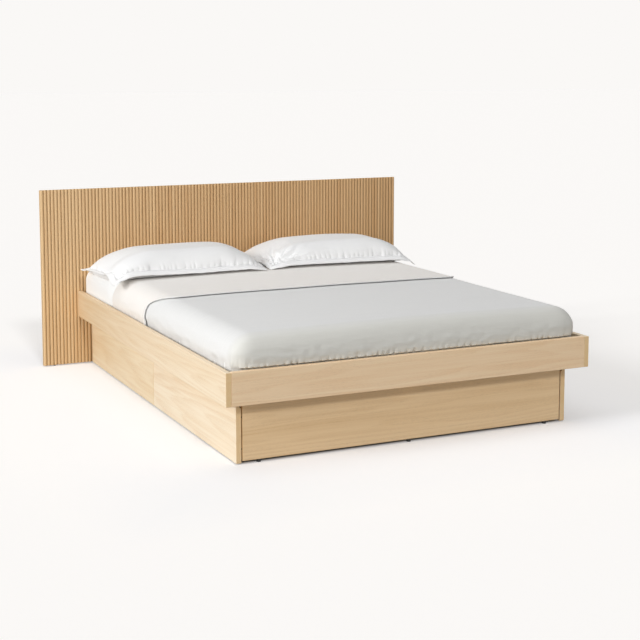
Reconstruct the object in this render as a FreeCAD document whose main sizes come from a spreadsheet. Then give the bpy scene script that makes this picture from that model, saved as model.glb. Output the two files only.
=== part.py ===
import FreeCAD, Part
import math
import os
import re
import Sketcher
from FreeCAD import Vector

# A queen bed: a reeded headboard, a tray of rails with the mattress in it,
# and a set-back base with two drawers on each side.
# +X is to the right seen from the foot, the headboard is at +Y and +Z is up.
# The origin is on the floor, at the middle of the bed's length and width.

# Driving dimensions in millimetres
SIZES = {
    # Mattress and the tray around it
    "mattress_width": 1524,
    "mattress_length": 2032,
    "mattress_depth": 204,
    "mattress_edge": 50,
    "mattress_gap": 5,
    "foot_room": 17,
    "rail_thick": 23,
    "rail_height": 132,
    "rail_arris": 1.5,
    # Slat support inside the tray
    "ledger_width": 100,
    "ledger_thick": 30,
    "beam_width": 60,
    "bed_slat_thick": 18,
    "bed_slat_width": 70,
    "bed_slat_margin": 28,
    "bed_slat_play": 5,
    "head_rail_clear": 2,
    "block_side": 40,
    # Headboard
    "board_height": 900,
    "panel_thick": 15,
    "slat_pitch": 17.86,
    "slat_gap": 0.5,
    "slat_depth": 7,
    "slat_lift": 1,
    "face_gap": 0.3,
    "board_glide_height": 4,
    "board_glide_radius": 6,
    "board_glide_inset": 60,
    # Base
    "base_height": 247,
    "side_inset": 68,
    "foot_inset": 72,
    "carcase_thick": 20,
    "carcase_lift": 12,
    "board_arris": 1,
    "glide_radius": 9,
    "glide_foot_inset": 70,
    "glide_side_inset": 14,
    # Drawers
    "front_thick": 22,
    "front_lift": 4,
    "front_back_gap": 5,
    "finger_bevel": 10,
    "front_head_gap": 6,
    "seam_gap": 3,
    "finger_gap": 20,
    "spine_room": 75,
    "box_height": 165,
    "box_lift": 35,
    "box_thick": 15,
    "back_thick": 15,
    "bottom_thick": 8,
    "bottom_rise": 10,
    "groove_depth": 6,
    "groove_play": 0.3,
    # Drawer slides
    "slide_tail": 39,
    "slide_setback": 6,
    "slide_width": 12.7,
    "slide_height": 45,
    "slide_wall": 1.4,
    "slide_play": 0.5,
    "bumper_radius": 3,
    "bumper_play": 0.3,
    "bumper_margin": 45,
    # Bolts and screws
    "bolt_radius": 4,
    "bolt_head_radius": 8,
    "bolt_head_height": 5,
    "bolt_head_room": 1,
    "bolt_bite": 18,
    "bolt_near": 330,
    "bolt_side_room": 102,
    "screw_radius": 2.5,
    "screw_head_radius": 4.5,
    "screw_head_height": 3,
    "screw_bite": 14,
    "screw_spread": 5,
    "hole_play": 0.2,
    "overrun": 2,
    # Bedding
    "cloth_gap": 0.3,
    "sheet_thick": 2,
    "sheet_tuck": 12,
    "duvet_side": 24,
    "duvet_side_room": 8.4,
    "duvet_foot_room": 2.4,
    "duvet_top": 14,
    "duvet_hem_lift": 29,
    "cuff_under": 54,
    "cuff_length": 720,
    "cuff_thick": 5,
    "cuff_hem_lift": 25,
    "pillow_length": 800,
    "pillow_width": 530,
    "pillow_height": 124,
    "pillow_hem": 8,
    "pillow_waist": 16,
    "pillow_head_gap": 22,
    "pillow_apart": 10,
}

# Counts of pieces that repeat
SLAT_COUNT = 113
BED_SLAT_COUNT = 14

# Places that follow from the driving dimensions
PLACES = {
    "duvet_near": "sheet_thick + 2 * cloth_gap",
    "duvet_far": "duvet_near + duvet_side",
    "duvet_foot_far": "foot_room - duvet_foot_room",
    "side_room": "duvet_far + cuff_thick + duvet_side_room",
    "rail_half": "mattress_width / 2 + side_room + rail_thick",
    "tray_length": "rail_thick + foot_room + mattress_length + mattress_gap",
    "foot_face": "0 - (tray_length + face_gap + slat_depth + panel_thick) / 2",
    "rail_end": "foot_face + tray_length",
    "board_face": "rail_end + face_gap",
    "panel_face": "board_face + slat_depth",
    "tray_foot": "foot_face + rail_thick",
    "tray_head": "rail_end - rail_thick",
    "ledger_top": "base_height + ledger_thick",
    "mattress_bottom": "ledger_top + bed_slat_thick",
    "mattress_top": "mattress_bottom + mattress_depth",
    "mattress_foot": "rail_end - mattress_gap - mattress_length",
    "mattress_head": "rail_end - mattress_gap",
    "base_half": "rail_half - side_inset",
    "front_back": "base_half - front_thick",
    "carcase_half": "front_back - front_back_gap",
    "base_foot": "foot_face + foot_inset",
    "fronts_head": "rail_end - front_head_gap",
    "mid_line": "(base_foot + fronts_head) / 2",
    "foot_panel_back": "base_foot + carcase_thick",
    "head_panel_face": "rail_end - carcase_thick",
    "mid_foot_face": "mid_line - carcase_thick / 2",
    "mid_head_face": "mid_line + carcase_thick / 2",
    "front_height": "base_height - finger_gap - front_lift",
    "box_rear": "carcase_thick / 2 + spine_room",
    "bottom_level": "box_lift + bottom_rise",
    "bottom_top": "bottom_level + bottom_thick",
    "slide_level": "box_lift + box_height / 2",
    "slide_front": "carcase_half - slide_setback",
    "slide_rear": "box_rear + slide_tail",
    "head_rail_height": "ledger_thick + bed_slat_thick - head_rail_clear",
    "bolt_level": "base_height + head_rail_height / 2",
    "bolt_inner": "slat_pitch * floor(bolt_near / slat_pitch)",
    "bolt_outer": "slat_pitch * floor((rail_half - rail_thick - bolt_side_room) / slat_pitch)",
    "bolt_sink": "bolt_head_height + bolt_head_room",
    "duvet_hem": "mattress_bottom + duvet_hem_lift",
    "cuff_hem": "duvet_hem + cuff_hem_lift",
    "pillow_head": "board_face - pillow_head_gap",
    "cuff_fold": "pillow_head - pillow_width + cuff_under",
}

doc = FreeCAD.newDocument("platform_bed")
sheet = doc.addObject("Spreadsheet::Sheet", "Sizes")
for row, (alias, number) in enumerate(SIZES.items(), start=1):
    sheet.set(f"A{row}", alias.replace("_", " "))
    sheet.set(f"B{row}", str(number))
    sheet.setAlias(f"B{row}", alias)
doc.recompute()


def formula(text):
    """Write a sum of sizes and places in the sheet's own names."""
    def named(match):
        word = match.group()
        if word in PLACES:
            return "(" + formula(PLACES[word]) + ")"
        if word in SIZES:
            return "Sizes." + word
        return word
    return re.sub("[a-z_]+", named, text)


def measure(text):
    """Work out a sum of sizes and places in millimetres."""
    return float(sheet.evalExpression(formula(text)))


def place(piece, x="0", y="0", z="0"):
    """Bind the place of a piece to the sheet."""
    for letter, text in zip("xyz", (x, y, z)):
        piece.setExpression("Placement.Base." + letter, formula(text))
    return piece


def block(name, size, corner):
    """A rectangular block with its lowest corner at the place given."""
    piece = doc.addObject("Part::Box", name)
    for side, text in zip(("Length", "Width", "Height"), size):
        piece.setExpression(side, formula(text))
    return place(piece, *corner)


# Turns that lay an upright rod along an axis
TURNS = {
    "+z": FreeCAD.Rotation(),
    "+x": FreeCAD.Rotation(Vector(0, 0, 1), Vector(1, 0, 0)),
    "-x": FreeCAD.Rotation(Vector(0, 0, 1), Vector(-1, 0, 0)),
    "+y": FreeCAD.Rotation(Vector(0, 0, 1), Vector(0, 1, 0)),
    "-y": FreeCAD.Rotation(Vector(0, 0, 1), Vector(0, -1, 0)),
}


def rod(name, radius, length, start, way="+z"):
    """A round rod from its start along the way given."""
    piece = doc.addObject("Part::Cylinder", name)
    piece.setExpression("Radius", formula(radius))
    piece.setExpression("Height", formula(length))
    piece.Placement = FreeCAD.Placement(Vector(), TURNS[way])
    return place(piece, *start)


def gather(name, pieces):
    """Hold several separate solids as one group."""
    group = doc.addObject("Part::Compound", name)
    group.Links = pieces
    return group


def drill(name, base, tools):
    """Take the tools out of a piece."""
    piece = doc.addObject("Part::Cut", name)
    piece.Base = base
    piece.Tool = tools[0] if len(tools) == 1 else gather(name + "_holes", tools)
    return piece


def ridge(name, half, length, edge):
    """A square bar laid along +Y with its middle on an edge, turned so that it cuts a bevel."""
    bar = block(name, (f"{half} * sqrt(2)", length, f"{half} * sqrt(2)"),
                (f"{edge[0]} - {half}", edge[1], edge[2]))
    bar.Placement = FreeCAD.Placement(Vector(), FreeCAD.Rotation(Vector(0, 1, 0), 45))
    return bar


def weld(name, pieces):
    """Join overlapping blocks into one solid."""
    piece = doc.addObject("Part::MultiFuse", name)
    piece.Shapes = pieces
    piece.Refine = True
    return piece


def board(name, size, corner, arris="board_arris"):
    """A sawn board: a rectangle, padded, with all its edges eased."""
    body = doc.addObject("PartDesign::Body", name)
    sketch = body.newObject("Sketcher::SketchObject", name + "_outline")
    planes = {plane.Role: plane for plane in body.Origin.OriginFeatures}
    sketch.AttachmentSupport = [(planes["XY_Plane"], "")]
    sketch.MapMode = "FlatFace"
    corners = [Vector(0, 0, 0), Vector(1, 0, 0), Vector(1, 1, 0), Vector(0, 1, 0)]
    for index, point in enumerate(corners):
        sketch.addGeometry(Part.LineSegment(point, corners[(index + 1) % 4]), False)
    for index in range(4):
        sketch.addConstraint(Sketcher.Constraint("Coincident", index, 2, (index + 1) % 4, 1))
    for index, way in enumerate(("Horizontal", "Vertical", "Horizontal", "Vertical")):
        sketch.addConstraint(Sketcher.Constraint(way, index))
    sketch.addConstraint(Sketcher.Constraint("Coincident", 0, 1, -1, 1))
    across = sketch.addConstraint(Sketcher.Constraint("DistanceX", 0, 1, 0, 2, measure(size[0])))
    along = sketch.addConstraint(Sketcher.Constraint("DistanceY", 1, 1, 1, 2, measure(size[1])))
    sketch.setExpression(f"Constraints[{across}]", formula(size[0]))
    sketch.setExpression(f"Constraints[{along}]", formula(size[1]))
    pad = body.newObject("PartDesign::Pad", name + "_thickness")
    pad.Profile = sketch
    pad.setExpression("Length", formula(size[2]))
    doc.recompute()
    eased = body.newObject("PartDesign::Chamfer", name + "_arris")
    eased.Base = (pad, [""])
    eased.UseAllEdges = True
    eased.setExpression("Size", formula(arris))
    body.Tip = eased
    return place(body, *corner)


def span(side, near, far):
    """The low corner and width along X of what lies between two distances from the middle."""
    low = near if side > 0 else f"0 - ({far})"
    return low, f"({far}) - ({near})"


parts = []


def keep(piece, label):
    """Name a finished sub-part."""
    piece.Label = label
    parts.append(piece)
    return piece


def mirrored(side, distance):
    """A place at a distance from the middle, on one side."""
    return distance if side > 0 else f"0 - ({distance})"


SIDES = {"left": -1, "right": 1}


# Headboard
board_width = f"slat_pitch * {SLAT_COUNT}"
bolt_places = [mirrored(side, reach) for side in (-1, 1) for reach in ("bolt_inner", "bolt_outer")]


def bolt_holes(stem, radius, start, length):
    """One hole at each headboard bolt, bored towards the foot."""
    return [rod(f"{stem}_{index}", radius, length, (x, start, "bolt_level"), "-y")
            for index, x in enumerate(bolt_places)]


def make_headboard():
    """The board, its glides and the bolts that hold it to the head rail."""
    panel = board("panel_blank", (board_width, "panel_thick", "board_height - board_glide_height"),
                  (f"0 - {board_width} / 2", "panel_face", "board_glide_height"))
    panel_back = "panel_face + panel_thick"
    shanks = bolt_holes("panel_bolt_hole", "bolt_radius + hole_play", f"{panel_back} + overrun",
                        "panel_thick + 2 * overrun")
    sinks = [rod(f"panel_sink_{index}", "bolt_head_radius + hole_play", "bolt_sink + overrun",
                 (x, f"{panel_back} + overrun", "bolt_level"), "-y")
             for index, x in enumerate(bolt_places)]
    holes = [weld(f"panel_hole_{index}", list(pair)) for index, pair in enumerate(zip(shanks, sinks))]
    keep(drill("panel_bored", panel, holes), "headboard_panel")

    glides = [rod(f"board_glide_{index}", "board_glide_radius", "board_glide_height",
                  (x, "panel_face + panel_thick / 2", "0"))
              for index, x in enumerate((f"board_glide_inset - {board_width} / 2", "0",
                                         f"{board_width} / 2 - board_glide_inset"))]
    keep(gather("board_glides", glides), "headboard_glides")

    bolts = []
    head_seat = f"{panel_back} - bolt_sink"
    shank_length = "panel_thick - bolt_sink + slat_depth + face_gap + bolt_bite"
    for index, x in enumerate(bolt_places):
        head = rod(f"bolt_head_{index}", "bolt_head_radius", "bolt_head_height",
                   (x, head_seat, "bolt_level"), "+y")
        shank = rod(f"bolt_shank_{index}", "bolt_radius", shank_length,
                    (x, head_seat, "bolt_level"), "-y")
        bolts.append(weld(f"bolt_{index}", [head, shank]))
    keep(gather("board_bolts", bolts), "headboard_bolts")


def make_headboard_slats():
    """Half-round slats with flat backs, drilled where the bolts pass."""
    half = measure("(slat_pitch - slat_gap) / 2")
    depth = measure("slat_depth")
    low = measure("board_glide_height + slat_lift")
    back = measure("panel_face")
    flat = Part.LineSegment(Vector(half, back, low), Vector(-half, back, low))
    round_face = Part.Arc(Vector(-half, back, low), Vector(0, back - depth, low),
                          Vector(half, back, low))
    section = Part.Face(Part.Wire([flat.toShape(), round_face.toShape()]))
    slat = section.extrude(Vector(0, 0, measure("board_height") - low))
    pitch = measure("slat_pitch")
    first = -pitch * (SLAT_COUNT - 1) / 2
    holes = [Part.makeCylinder(measure("bolt_radius + hole_play"), measure("slat_depth + 2 * overrun"),
                               Vector(measure(x), measure("panel_face + overrun"), measure("bolt_level")),
                               Vector(0, -1, 0))
             for x in bolt_places]
    slats = []
    for index in range(SLAT_COUNT):
        centre = first + index * pitch
        piece = slat.translated(Vector(centre, 0, 0))
        for hole in holes:
            if abs(hole.BoundBox.Center.x - centre) < pitch:
                piece = piece.cut(hole)
        slats.append(piece)
    feature = doc.addObject("Part::Feature", "board_slats")
    feature.Shape = Part.makeCompound(slats)
    keep(feature, "headboard_slats")


# Tray
BLOCK_SPOTS = [(side, end) for side in (-1, 1) for end in ("foot", "head")]
rail_inner = "rail_half - rail_thick"
screw_low = "base_height + ledger_thick / 2 - screw_spread"
screw_high = "base_height + ledger_thick / 2 + screw_spread"


def block_start(end):
    """The end of a corner block that is nearer the foot."""
    return "tray_foot" if end == "foot" else "tray_head - block_side"


def corner_screw(stem, side, end, grown):
    """The two crossing screws of one corner block, or the holes for them."""
    play = " + hole_play" if grown else ""
    centre_x = mirrored(side, f"{rail_inner} - block_side / 2")
    inner_x = mirrored(side, f"{rail_inner} - block_side")
    centre_y = f"{block_start(end)} + block_side / 2"
    inner_y = "tray_foot + block_side" if end == "foot" else "tray_head - block_side"
    to_side = "+x" if side > 0 else "-x"
    from_side = "-x" if side > 0 else "+x"
    to_end = "-y" if end == "foot" else "+y"
    from_end = "+y" if end == "foot" else "-y"
    pieces = []
    for name, start, out, back in (
            ("side", (inner_x, centre_y, screw_low), to_side, from_side),
            ("end", (centre_x, inner_y, screw_high), to_end, from_end)):
        shank = rod(f"{stem}_{name}_shank", "screw_radius" + play,
                    "block_side + screw_bite" + play, start, out)
        head = rod(f"{stem}_{name}_head", "screw_head_radius" + play,
                   "screw_head_height" + play, start, out)
        if grown:
            run_in = rod(f"{stem}_{name}_run", "screw_head_radius" + play, "overrun", start, back)
            pieces.append(weld(f"{stem}_{name}", [shank, head, run_in]))
        else:
            pieces.append(weld(f"{stem}_{name}", [shank, head]))
    return pieces


def make_rails():
    """The three visible rails and the hidden head rail, bored for bolts and screws."""
    holes = {spot: corner_screw(f"screw_hole_{spot[1]}_{'r' if spot[0] > 0 else 'l'}", *spot, True)
             for spot in BLOCK_SPOTS}
    for name, side in SIDES.items():
        low, width = span(side, rail_inner, "rail_half")
        rail = board(f"{name}_rail_blank", (width, "tray_length", "rail_height"),
                     (low, "foot_face", "base_height"), "rail_arris")
        bores = [holes[(side, end)][0] for end in ("foot", "head")]
        keep(drill(f"{name}_rail_bored", rail, bores), f"side_rail_{name}")
    for end, start, height, arris in (("foot", "foot_face", "rail_height", "rail_arris"),
                                      ("head", "tray_head", "head_rail_height", "board_arris")):
        rail = board(f"{end}_rail_blank", (f"2 * ({rail_inner})", "rail_thick", height),
                     (f"0 - ({rail_inner})", start, "base_height"), arris)
        bores = [holes[(side, end)][1] for side in (-1, 1)]
        if end == "head":
            bores += bolt_holes("head_rail_bolt_hole", "bolt_radius + hole_play",
                                "rail_end + overrun", "bolt_bite + hole_play + overrun")
        keep(drill(f"{end}_rail_bored", rail, bores), f"{end}_rail")
    blocks = []
    for side, end in BLOCK_SPOTS:
        low, width = span(side, f"{rail_inner} - block_side", rail_inner)
        name = f"block_{end}_{'r' if side > 0 else 'l'}"
        blank = block(name, (width, "block_side", "ledger_thick"),
                      (low, block_start(end), "base_height"))
        blocks.append(drill(name + "_bored", blank, holes[(side, end)]))
    keep(gather("blocks", blocks), "corner_blocks")
    screws = []
    for side, end in BLOCK_SPOTS:
        screws += corner_screw(f"screw_{end}_{'r' if side > 0 else 'l'}", side, end, False)
    keep(gather("screws", screws), "corner_screws")


def make_slat_support():
    """Ledgers, centre beam and the cross slats."""
    for name, side in SIDES.items():
        low, width = span(side, f"{rail_inner} - ledger_width", rail_inner)
        ledger = board(f"{name}_ledger",
                       (width, "tray_head - tray_foot - 2 * block_side", "ledger_thick"),
                       (low, "tray_foot + block_side", "base_height"))
        keep(ledger, f"ledger_{name}")
    beam = board("beam", ("beam_width", "tray_head - tray_foot", "ledger_thick"),
                 ("0 - beam_width / 2", "tray_foot", "base_height"))
    keep(beam, "centre_beam")
    first = "tray_foot + bed_slat_margin"
    last = "tray_head - bed_slat_margin - bed_slat_width"
    slats = []
    for index in range(BED_SLAT_COUNT):
        slats.append(board(
            f"bed_slat_{index}",
            (f"2 * ({rail_inner} - bed_slat_play)", "bed_slat_width", "bed_slat_thick"),
            (f"bed_slat_play - ({rail_inner})",
             f"{first} + ({last} - ({first})) * {index} / {BED_SLAT_COUNT - 1}", "ledger_top")))
    keep(gather("bed_slats", slats), "mattress_slats")


# Base
def make_base():
    """The panels across, the spine along the middle and the feet."""
    height = "base_height - carcase_lift"
    for label, start in (("foot_panel", "base_foot"), ("mid_partition", "mid_foot_face"),
                         ("head_panel", "head_panel_face")):
        keep(board(label + "_board", ("2 * carcase_half", "carcase_thick", height),
                   ("0 - carcase_half", start, "carcase_lift")), label)
    for label, start, stop in (("spine_foot", "foot_panel_back", "mid_foot_face"),
                               ("spine_head", "mid_head_face", "head_panel_face")):
        keep(board(label + "_board", ("carcase_thick", f"{stop} - ({start})", height),
                   ("0 - carcase_thick / 2", start, "carcase_lift")), label)
    glides = []
    for row, start, inset in (("foot", "base_foot", "glide_foot_inset"),
                              ("mid", "mid_foot_face", "glide_side_inset"),
                              ("head", "head_panel_face", "glide_side_inset")):
        reach = f"carcase_half - {inset}"
        for spot, x in (("left", f"0 - ({reach})"), ("middle", "0"), ("right", reach)):
            glides.append(rod(f"glide_{row}_{spot}", "glide_radius", "carcase_lift",
                              (x, f"{start} + carcase_thick / 2", "0")))
    keep(gather("glides", glides), "floor_glides")
    bumpers = []
    quarter = "carcase_thick / 4"
    rows = {"foot": f"base_foot + 2 * {quarter}", "mid_a": f"mid_foot_face + {quarter}",
            "mid_b": f"mid_head_face - {quarter}", "head": f"head_panel_face + 2 * {quarter}"}
    for name, side in SIDES.items():
        for row, y in rows.items():
            for level, z in (("low", "carcase_lift + bumper_margin"),
                             ("high", "front_lift + front_height - bumper_margin")):
                bumpers.append(rod(f"bumper_{name}_{row}_{level}", "bumper_radius",
                                   "front_back_gap - bumper_play",
                                   (mirrored(side, "carcase_half"), y, z),
                                   "+x" if side > 0 else "-x"))
    keep(gather("bumpers", bumpers), "drawer_bumpers")


# Drawer slides
# Each member is a channel: its web stands at a distance from the panel and its
# lips point at the drawer (the outer two) or back at the panel (the inner one).
def channel(name, side, wall, facing, web, lip, height):
    """One slide member on a wall whose face looks along +Y or -Y."""
    low, width = span(side, "slide_rear", "slide_front")
    pieces = []
    for part, start, reach, z, tall in (
            ("web", web, "slide_wall", f"slide_level - ({height}) / 2", height),
            ("top", lip[0], lip[1], f"slide_level + ({height}) / 2 - slide_wall", "slide_wall"),
            ("foot", lip[0], lip[1], f"slide_level - ({height}) / 2", "slide_wall")):
        y = f"{wall} + {start}" if facing > 0 else f"{wall} - ({start}) - ({reach})"
        pieces.append(block(f"{name}_{part}", (width, reach, tall), (low, y, z)))
    return weld(name, pieces)


# For each member: the web's distance, the lip's start and length, and the height
inner_height = "slide_height - 12 * slide_wall"
middle_height = "slide_height - 6 * slide_wall"
CHANNELS = {
    "cabinet": ("0", ("0", "slide_width - 3 * slide_wall"), "slide_height"),
    "middle": ("slide_wall + slide_play",
               ("slide_wall + slide_play", "slide_width - 3 * slide_wall - slide_play"),
               middle_height),
    "runner": ("slide_width - slide_wall",
               ("2 * slide_wall + 2 * slide_play", "slide_width - 2 * slide_wall - 2 * slide_play"),
               inner_height),
}

# Each bay: the wall nearer the foot and the wall nearer the head
BAYS = {
    "foot": ("foot_panel_back", "mid_foot_face", "base_foot", "mid_line - seam_gap / 2"),
    "head": ("mid_head_face", "head_panel_face", "mid_line + seam_gap / 2", "fronts_head"),
}


def bay_channels(kind, name, side, end):
    """The same slide member on both walls of one bay."""
    near, far = BAYS[end][:2]
    return [channel(f"{kind}_{name}_{end}_near", side, near, 1, *CHANNELS[kind]),
            channel(f"{kind}_{name}_{end}_far", side, far, -1, *CHANNELS[kind])]


def make_drawer(name, side, end):
    """One drawer: front, two sides, back, bottom and its slide members."""
    tag = f"{name}_{end}"
    near, far, front_start, front_stop = BAYS[end]
    side_outer = {"foot": f"{near} + slide_width", "head": f"{far} - slide_width - box_thick"}
    inner_start = f"{near} + slide_width + box_thick"
    inner_stop = f"{far} - slide_width - box_thick"
    groove_low = f"{inner_start} - groove_depth"
    groove_span = f"({inner_stop}) - ({inner_start}) + 2 * groove_depth"
    groove_tall = "bottom_thick + groove_play"

    low, width = span(side, "front_back", "base_half")
    front = board(f"front_{tag}", (width, f"{front_stop} - ({front_start})", "front_height"),
                  (low, front_start, "front_lift"))
    low, width = span(side, "front_back - overrun", "front_back + groove_depth")
    slot = block(f"front_slot_{tag}", (width, groove_span, groove_tall),
                 (low, groove_low, "bottom_level"))
    bevel = ridge(f"front_bevel_{tag}", "finger_bevel",
                  f"{front_stop} - ({front_start}) + 2 * overrun",
                  (mirrored(side, "front_back"), f"{front_start} - overrun",
                   "front_lift + front_height"))
    keep(drill(f"front_grooved_{tag}", front, [slot, bevel]), f"drawer_{tag}_front")

    low, width = span(side, "box_rear", "front_back")
    slot_low, slot_width = span(side, "box_rear - overrun", "front_back + overrun")
    for which, start in side_outer.items():
        plank = board(f"side_{which}_{tag}", (width, "box_thick", "box_height"),
                      (low, start, "box_lift"))
        groove_y = groove_low if which == "foot" else f"{inner_stop} - overrun"
        slot = block(f"side_slot_{which}_{tag}",
                     (slot_width, "groove_depth + overrun", groove_tall),
                     (slot_low, groove_y, "bottom_level"))
        keep(drill(f"side_grooved_{which}_{tag}", plank, [slot]), f"drawer_{tag}_side_{which}")

    low, width = span(side, "box_rear", "box_rear + back_thick")
    keep(board(f"back_{tag}",
               (width, f"({inner_stop}) - ({inner_start})",
                "box_lift + box_height - bottom_top - groove_play"),
               (low, inner_start, "bottom_top + groove_play")), f"drawer_{tag}_back")

    low, width = span(side, "box_rear", "front_back + groove_depth - groove_play")
    keep(block(f"bottom_{tag}", (width, f"{groove_span} - 2 * groove_play", "bottom_thick"),
               (low, f"{groove_low} + groove_play", "bottom_level")), f"drawer_{tag}_bottom")

    keep(gather(f"runners_{tag}", bay_channels("runner", name, side, end)), f"drawer_{tag}_runners")
    keep(gather(f"middles_{tag}", bay_channels("middle", name, side, end)), f"slide_middle_{tag}")
    return bay_channels("cabinet", name, side, end)


def make_drawers():
    """Two drawers on each side and the fixed members of their slides."""
    fixed = []
    for name, side in SIDES.items():
        for end in BAYS:
            fixed += make_drawer(name, side, end)
    keep(gather("cabinet_members", fixed), "slide_cabinet_members")


# Bedding
# Edges whose places differ by less than this are taken as the same
SAME_PLACE = 1e-6


def soft_box(half, foot, head, bottom, top, side_round, foot_round, head_round=0):
    """A block with rounded top and upright edges, as a wrapped mattress has."""
    shape = Part.makeBox(2 * half, head - foot, top - bottom, Vector(-half, foot, bottom))
    upright = [edge for edge in shape.Edges
               if edge.BoundBox.ZLength > edge.BoundBox.XLength + edge.BoundBox.YLength]
    at_foot = [edge for edge in upright if edge.BoundBox.YMax < (foot + head) / 2]
    at_head = [edge for edge in upright if edge.BoundBox.YMax > (foot + head) / 2]
    shape = shape.makeFillet(foot_round, at_foot)
    if head_round:
        shape = shape.makeFillet(head_round, [edge for edge in shape.Edges
                                              for old in at_head
                                              if edge.CenterOfMass.isEqual(old.CenterOfMass, SAME_PLACE)])
    rim = [edge for edge in shape.Edges
           if edge.BoundBox.ZLength < SAME_PLACE and abs(edge.BoundBox.ZMax - top) < SAME_PLACE
           and (head_round or edge.CenterOfMass.y < head - SAME_PLACE)]
    return shape.makeFillet(side_round, rim)


def feature(name, shape, label):
    """Hold a shape that is made straight from sections."""
    piece = doc.addObject("Part::Feature", name)
    piece.Shape = shape
    return keep(piece, label)


def wrapped(cover, foot_cover, top_cover, bottom, head, side_round, foot_round, head_round=0):
    """The rounded block that lies a cover's thickness outside the mattress."""
    return soft_box(measure("mattress_width / 2") + cover, measure("mattress_foot") - foot_cover,
                    head, bottom, measure("mattress_top") + top_cover,
                    side_round, foot_round, head_round)


def make_mattress():
    """The mattress and the sheet stretched over it."""
    edge = measure("mattress_edge")
    clear = measure("cloth_gap")
    outside = clear + measure("sheet_thick")
    bottom = measure("mattress_bottom")
    head = measure("mattress_head")
    feature("mattress_body", wrapped(0, 0, 0, bottom, head, edge, edge, edge), "mattress")
    tuck = bottom + measure("sheet_tuck")
    low = bottom - measure("overrun")
    outer = wrapped(outside, outside, outside, tuck, head + outside,
                    edge + outside, edge + outside, edge + outside)
    inner = wrapped(clear, clear, clear, low, head + clear,
                    edge + clear, edge + clear, edge + clear)
    feature("sheet_body", outer.cut(inner), "fitted_sheet")


def shell(near, side_far, foot_far, top_far, bottom, foot_end, head_end):
    """A layer of cloth over the bed, open at its head end and underneath."""
    edge = measure("mattress_edge")
    run = measure("overrun")
    outer = wrapped(side_far, foot_far, top_far, bottom, head_end, edge + top_far, edge + side_far)
    inner = wrapped(near, near, near, bottom - run, head_end + run, edge + near, edge + near)
    layer = outer.cut(inner)
    if foot_end is None:
        return layer
    width = 2 * (measure("mattress_width / 2") + side_far + run)
    keep_box = Part.makeBox(width, head_end + run - foot_end, measure("board_height"),
                            Vector(-width / 2, foot_end, 0))
    return layer.common(keep_box)


def make_duvet():
    """The duvet, its head end folded back over itself as a cuff."""
    near = measure("duvet_near")
    side_far = measure("duvet_far")
    foot_far = measure("duvet_foot_far")
    top_far = near + measure("duvet_top")
    fold = measure("cuff_fold")
    cuff_end = fold - measure("cuff_length")
    main = shell(near, side_far, foot_far, top_far, measure("duvet_hem"), None, fold)
    more = measure("cuff_thick")
    cuff = shell(near, side_far + more, foot_far, top_far + more,
                 measure("cuff_hem"), cuff_end, fold)
    feature("duvet_body", main.fuse(cuff).removeSplitter(), "duvet")


# Where the pillow's sections stand along its length, and how high each rises
PILLOW_PLACE_SHARES = (-0.5, -0.46, -0.36, -0.18, 0, 0.18, 0.36, 0.46, 0.5)
PILLOW_RISE_SHARES = (0, 0.16, 0.6, 0.94, 1, 0.94, 0.6, 0.16, 0)


def make_pillow(name, side):
    """A crowned pillow, drawn in between its corners, that leans from the sheet onto the cuff."""
    length = measure("pillow_length")
    half_width = measure("pillow_width / 2")
    hem = measure("pillow_hem")
    rise = measure("pillow_height - pillow_hem")
    waist = measure("pillow_waist")
    middle_x = side * measure("pillow_apart / 2 + pillow_length / 2")
    middle_y = measure("pillow_head - pillow_width / 2")
    seat = measure("mattress_top + duvet_near")
    lean = measure("(duvet_top + cuff_thick + cloth_gap) / (pillow_head - cuff_fold)")

    def under(y):
        return seat + lean * (middle_y + half_width - y)

    wires = []
    for place_share, rise_share in zip(PILLOW_PLACE_SHARES, PILLOW_RISE_SHARES):
        x = middle_x + place_share * length
        reach = half_width - waist * math.cos(math.pi * place_share)
        top = under(middle_y) + hem + rise * rise_share + hem * (1 - rise_share) / 2
        foot, head = middle_y - reach, middle_y + reach
        corners = [Vector(x, foot, under(foot)), Vector(x, foot, under(foot) + hem),
                   Vector(x, head, under(head) + hem), Vector(x, head, under(head))]
        crown = Part.Arc(corners[1], Vector(x, middle_y, top), corners[2])
        edges = [Part.LineSegment(corners[0], corners[1]), crown,
                 Part.LineSegment(corners[2], corners[3]), Part.LineSegment(corners[3], corners[0])]
        wires.append(Part.Wire([edge.toShape() for edge in edges]))
    feature(f"pillow_{name}_body", Part.makeLoft(wires, True, False), f"pillow_{name}")


make_headboard()
make_headboard_slats()
make_rails()
make_slat_support()
make_base()
make_drawers()
make_mattress()
make_duvet()
for pillow_name, pillow_side in SIDES.items():
    make_pillow(pillow_name, pillow_side)

doc.recompute()

# Nothing is written unless every object and every sub-part is sound
for item in doc.Objects:
    if "Invalid" in item.State or "Error" in item.State:
        raise RuntimeError(f"{item.Label} failed: {item.State}")
for item in parts:
    if item.Shape.isNull() or not item.Shape.isValid():
        raise RuntimeError(f"{item.Label} has no sound shape")

os.makedirs("parts", exist_ok=True)
for item in parts:
    item.Shape.exportStep(f"parts/{item.Label}.step")
print(len(parts), "sub-parts written")
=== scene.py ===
import math

import bmesh
import bpy
from bpy.props import FloatProperty, FloatVectorProperty, PointerProperty
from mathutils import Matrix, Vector, noise


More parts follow.
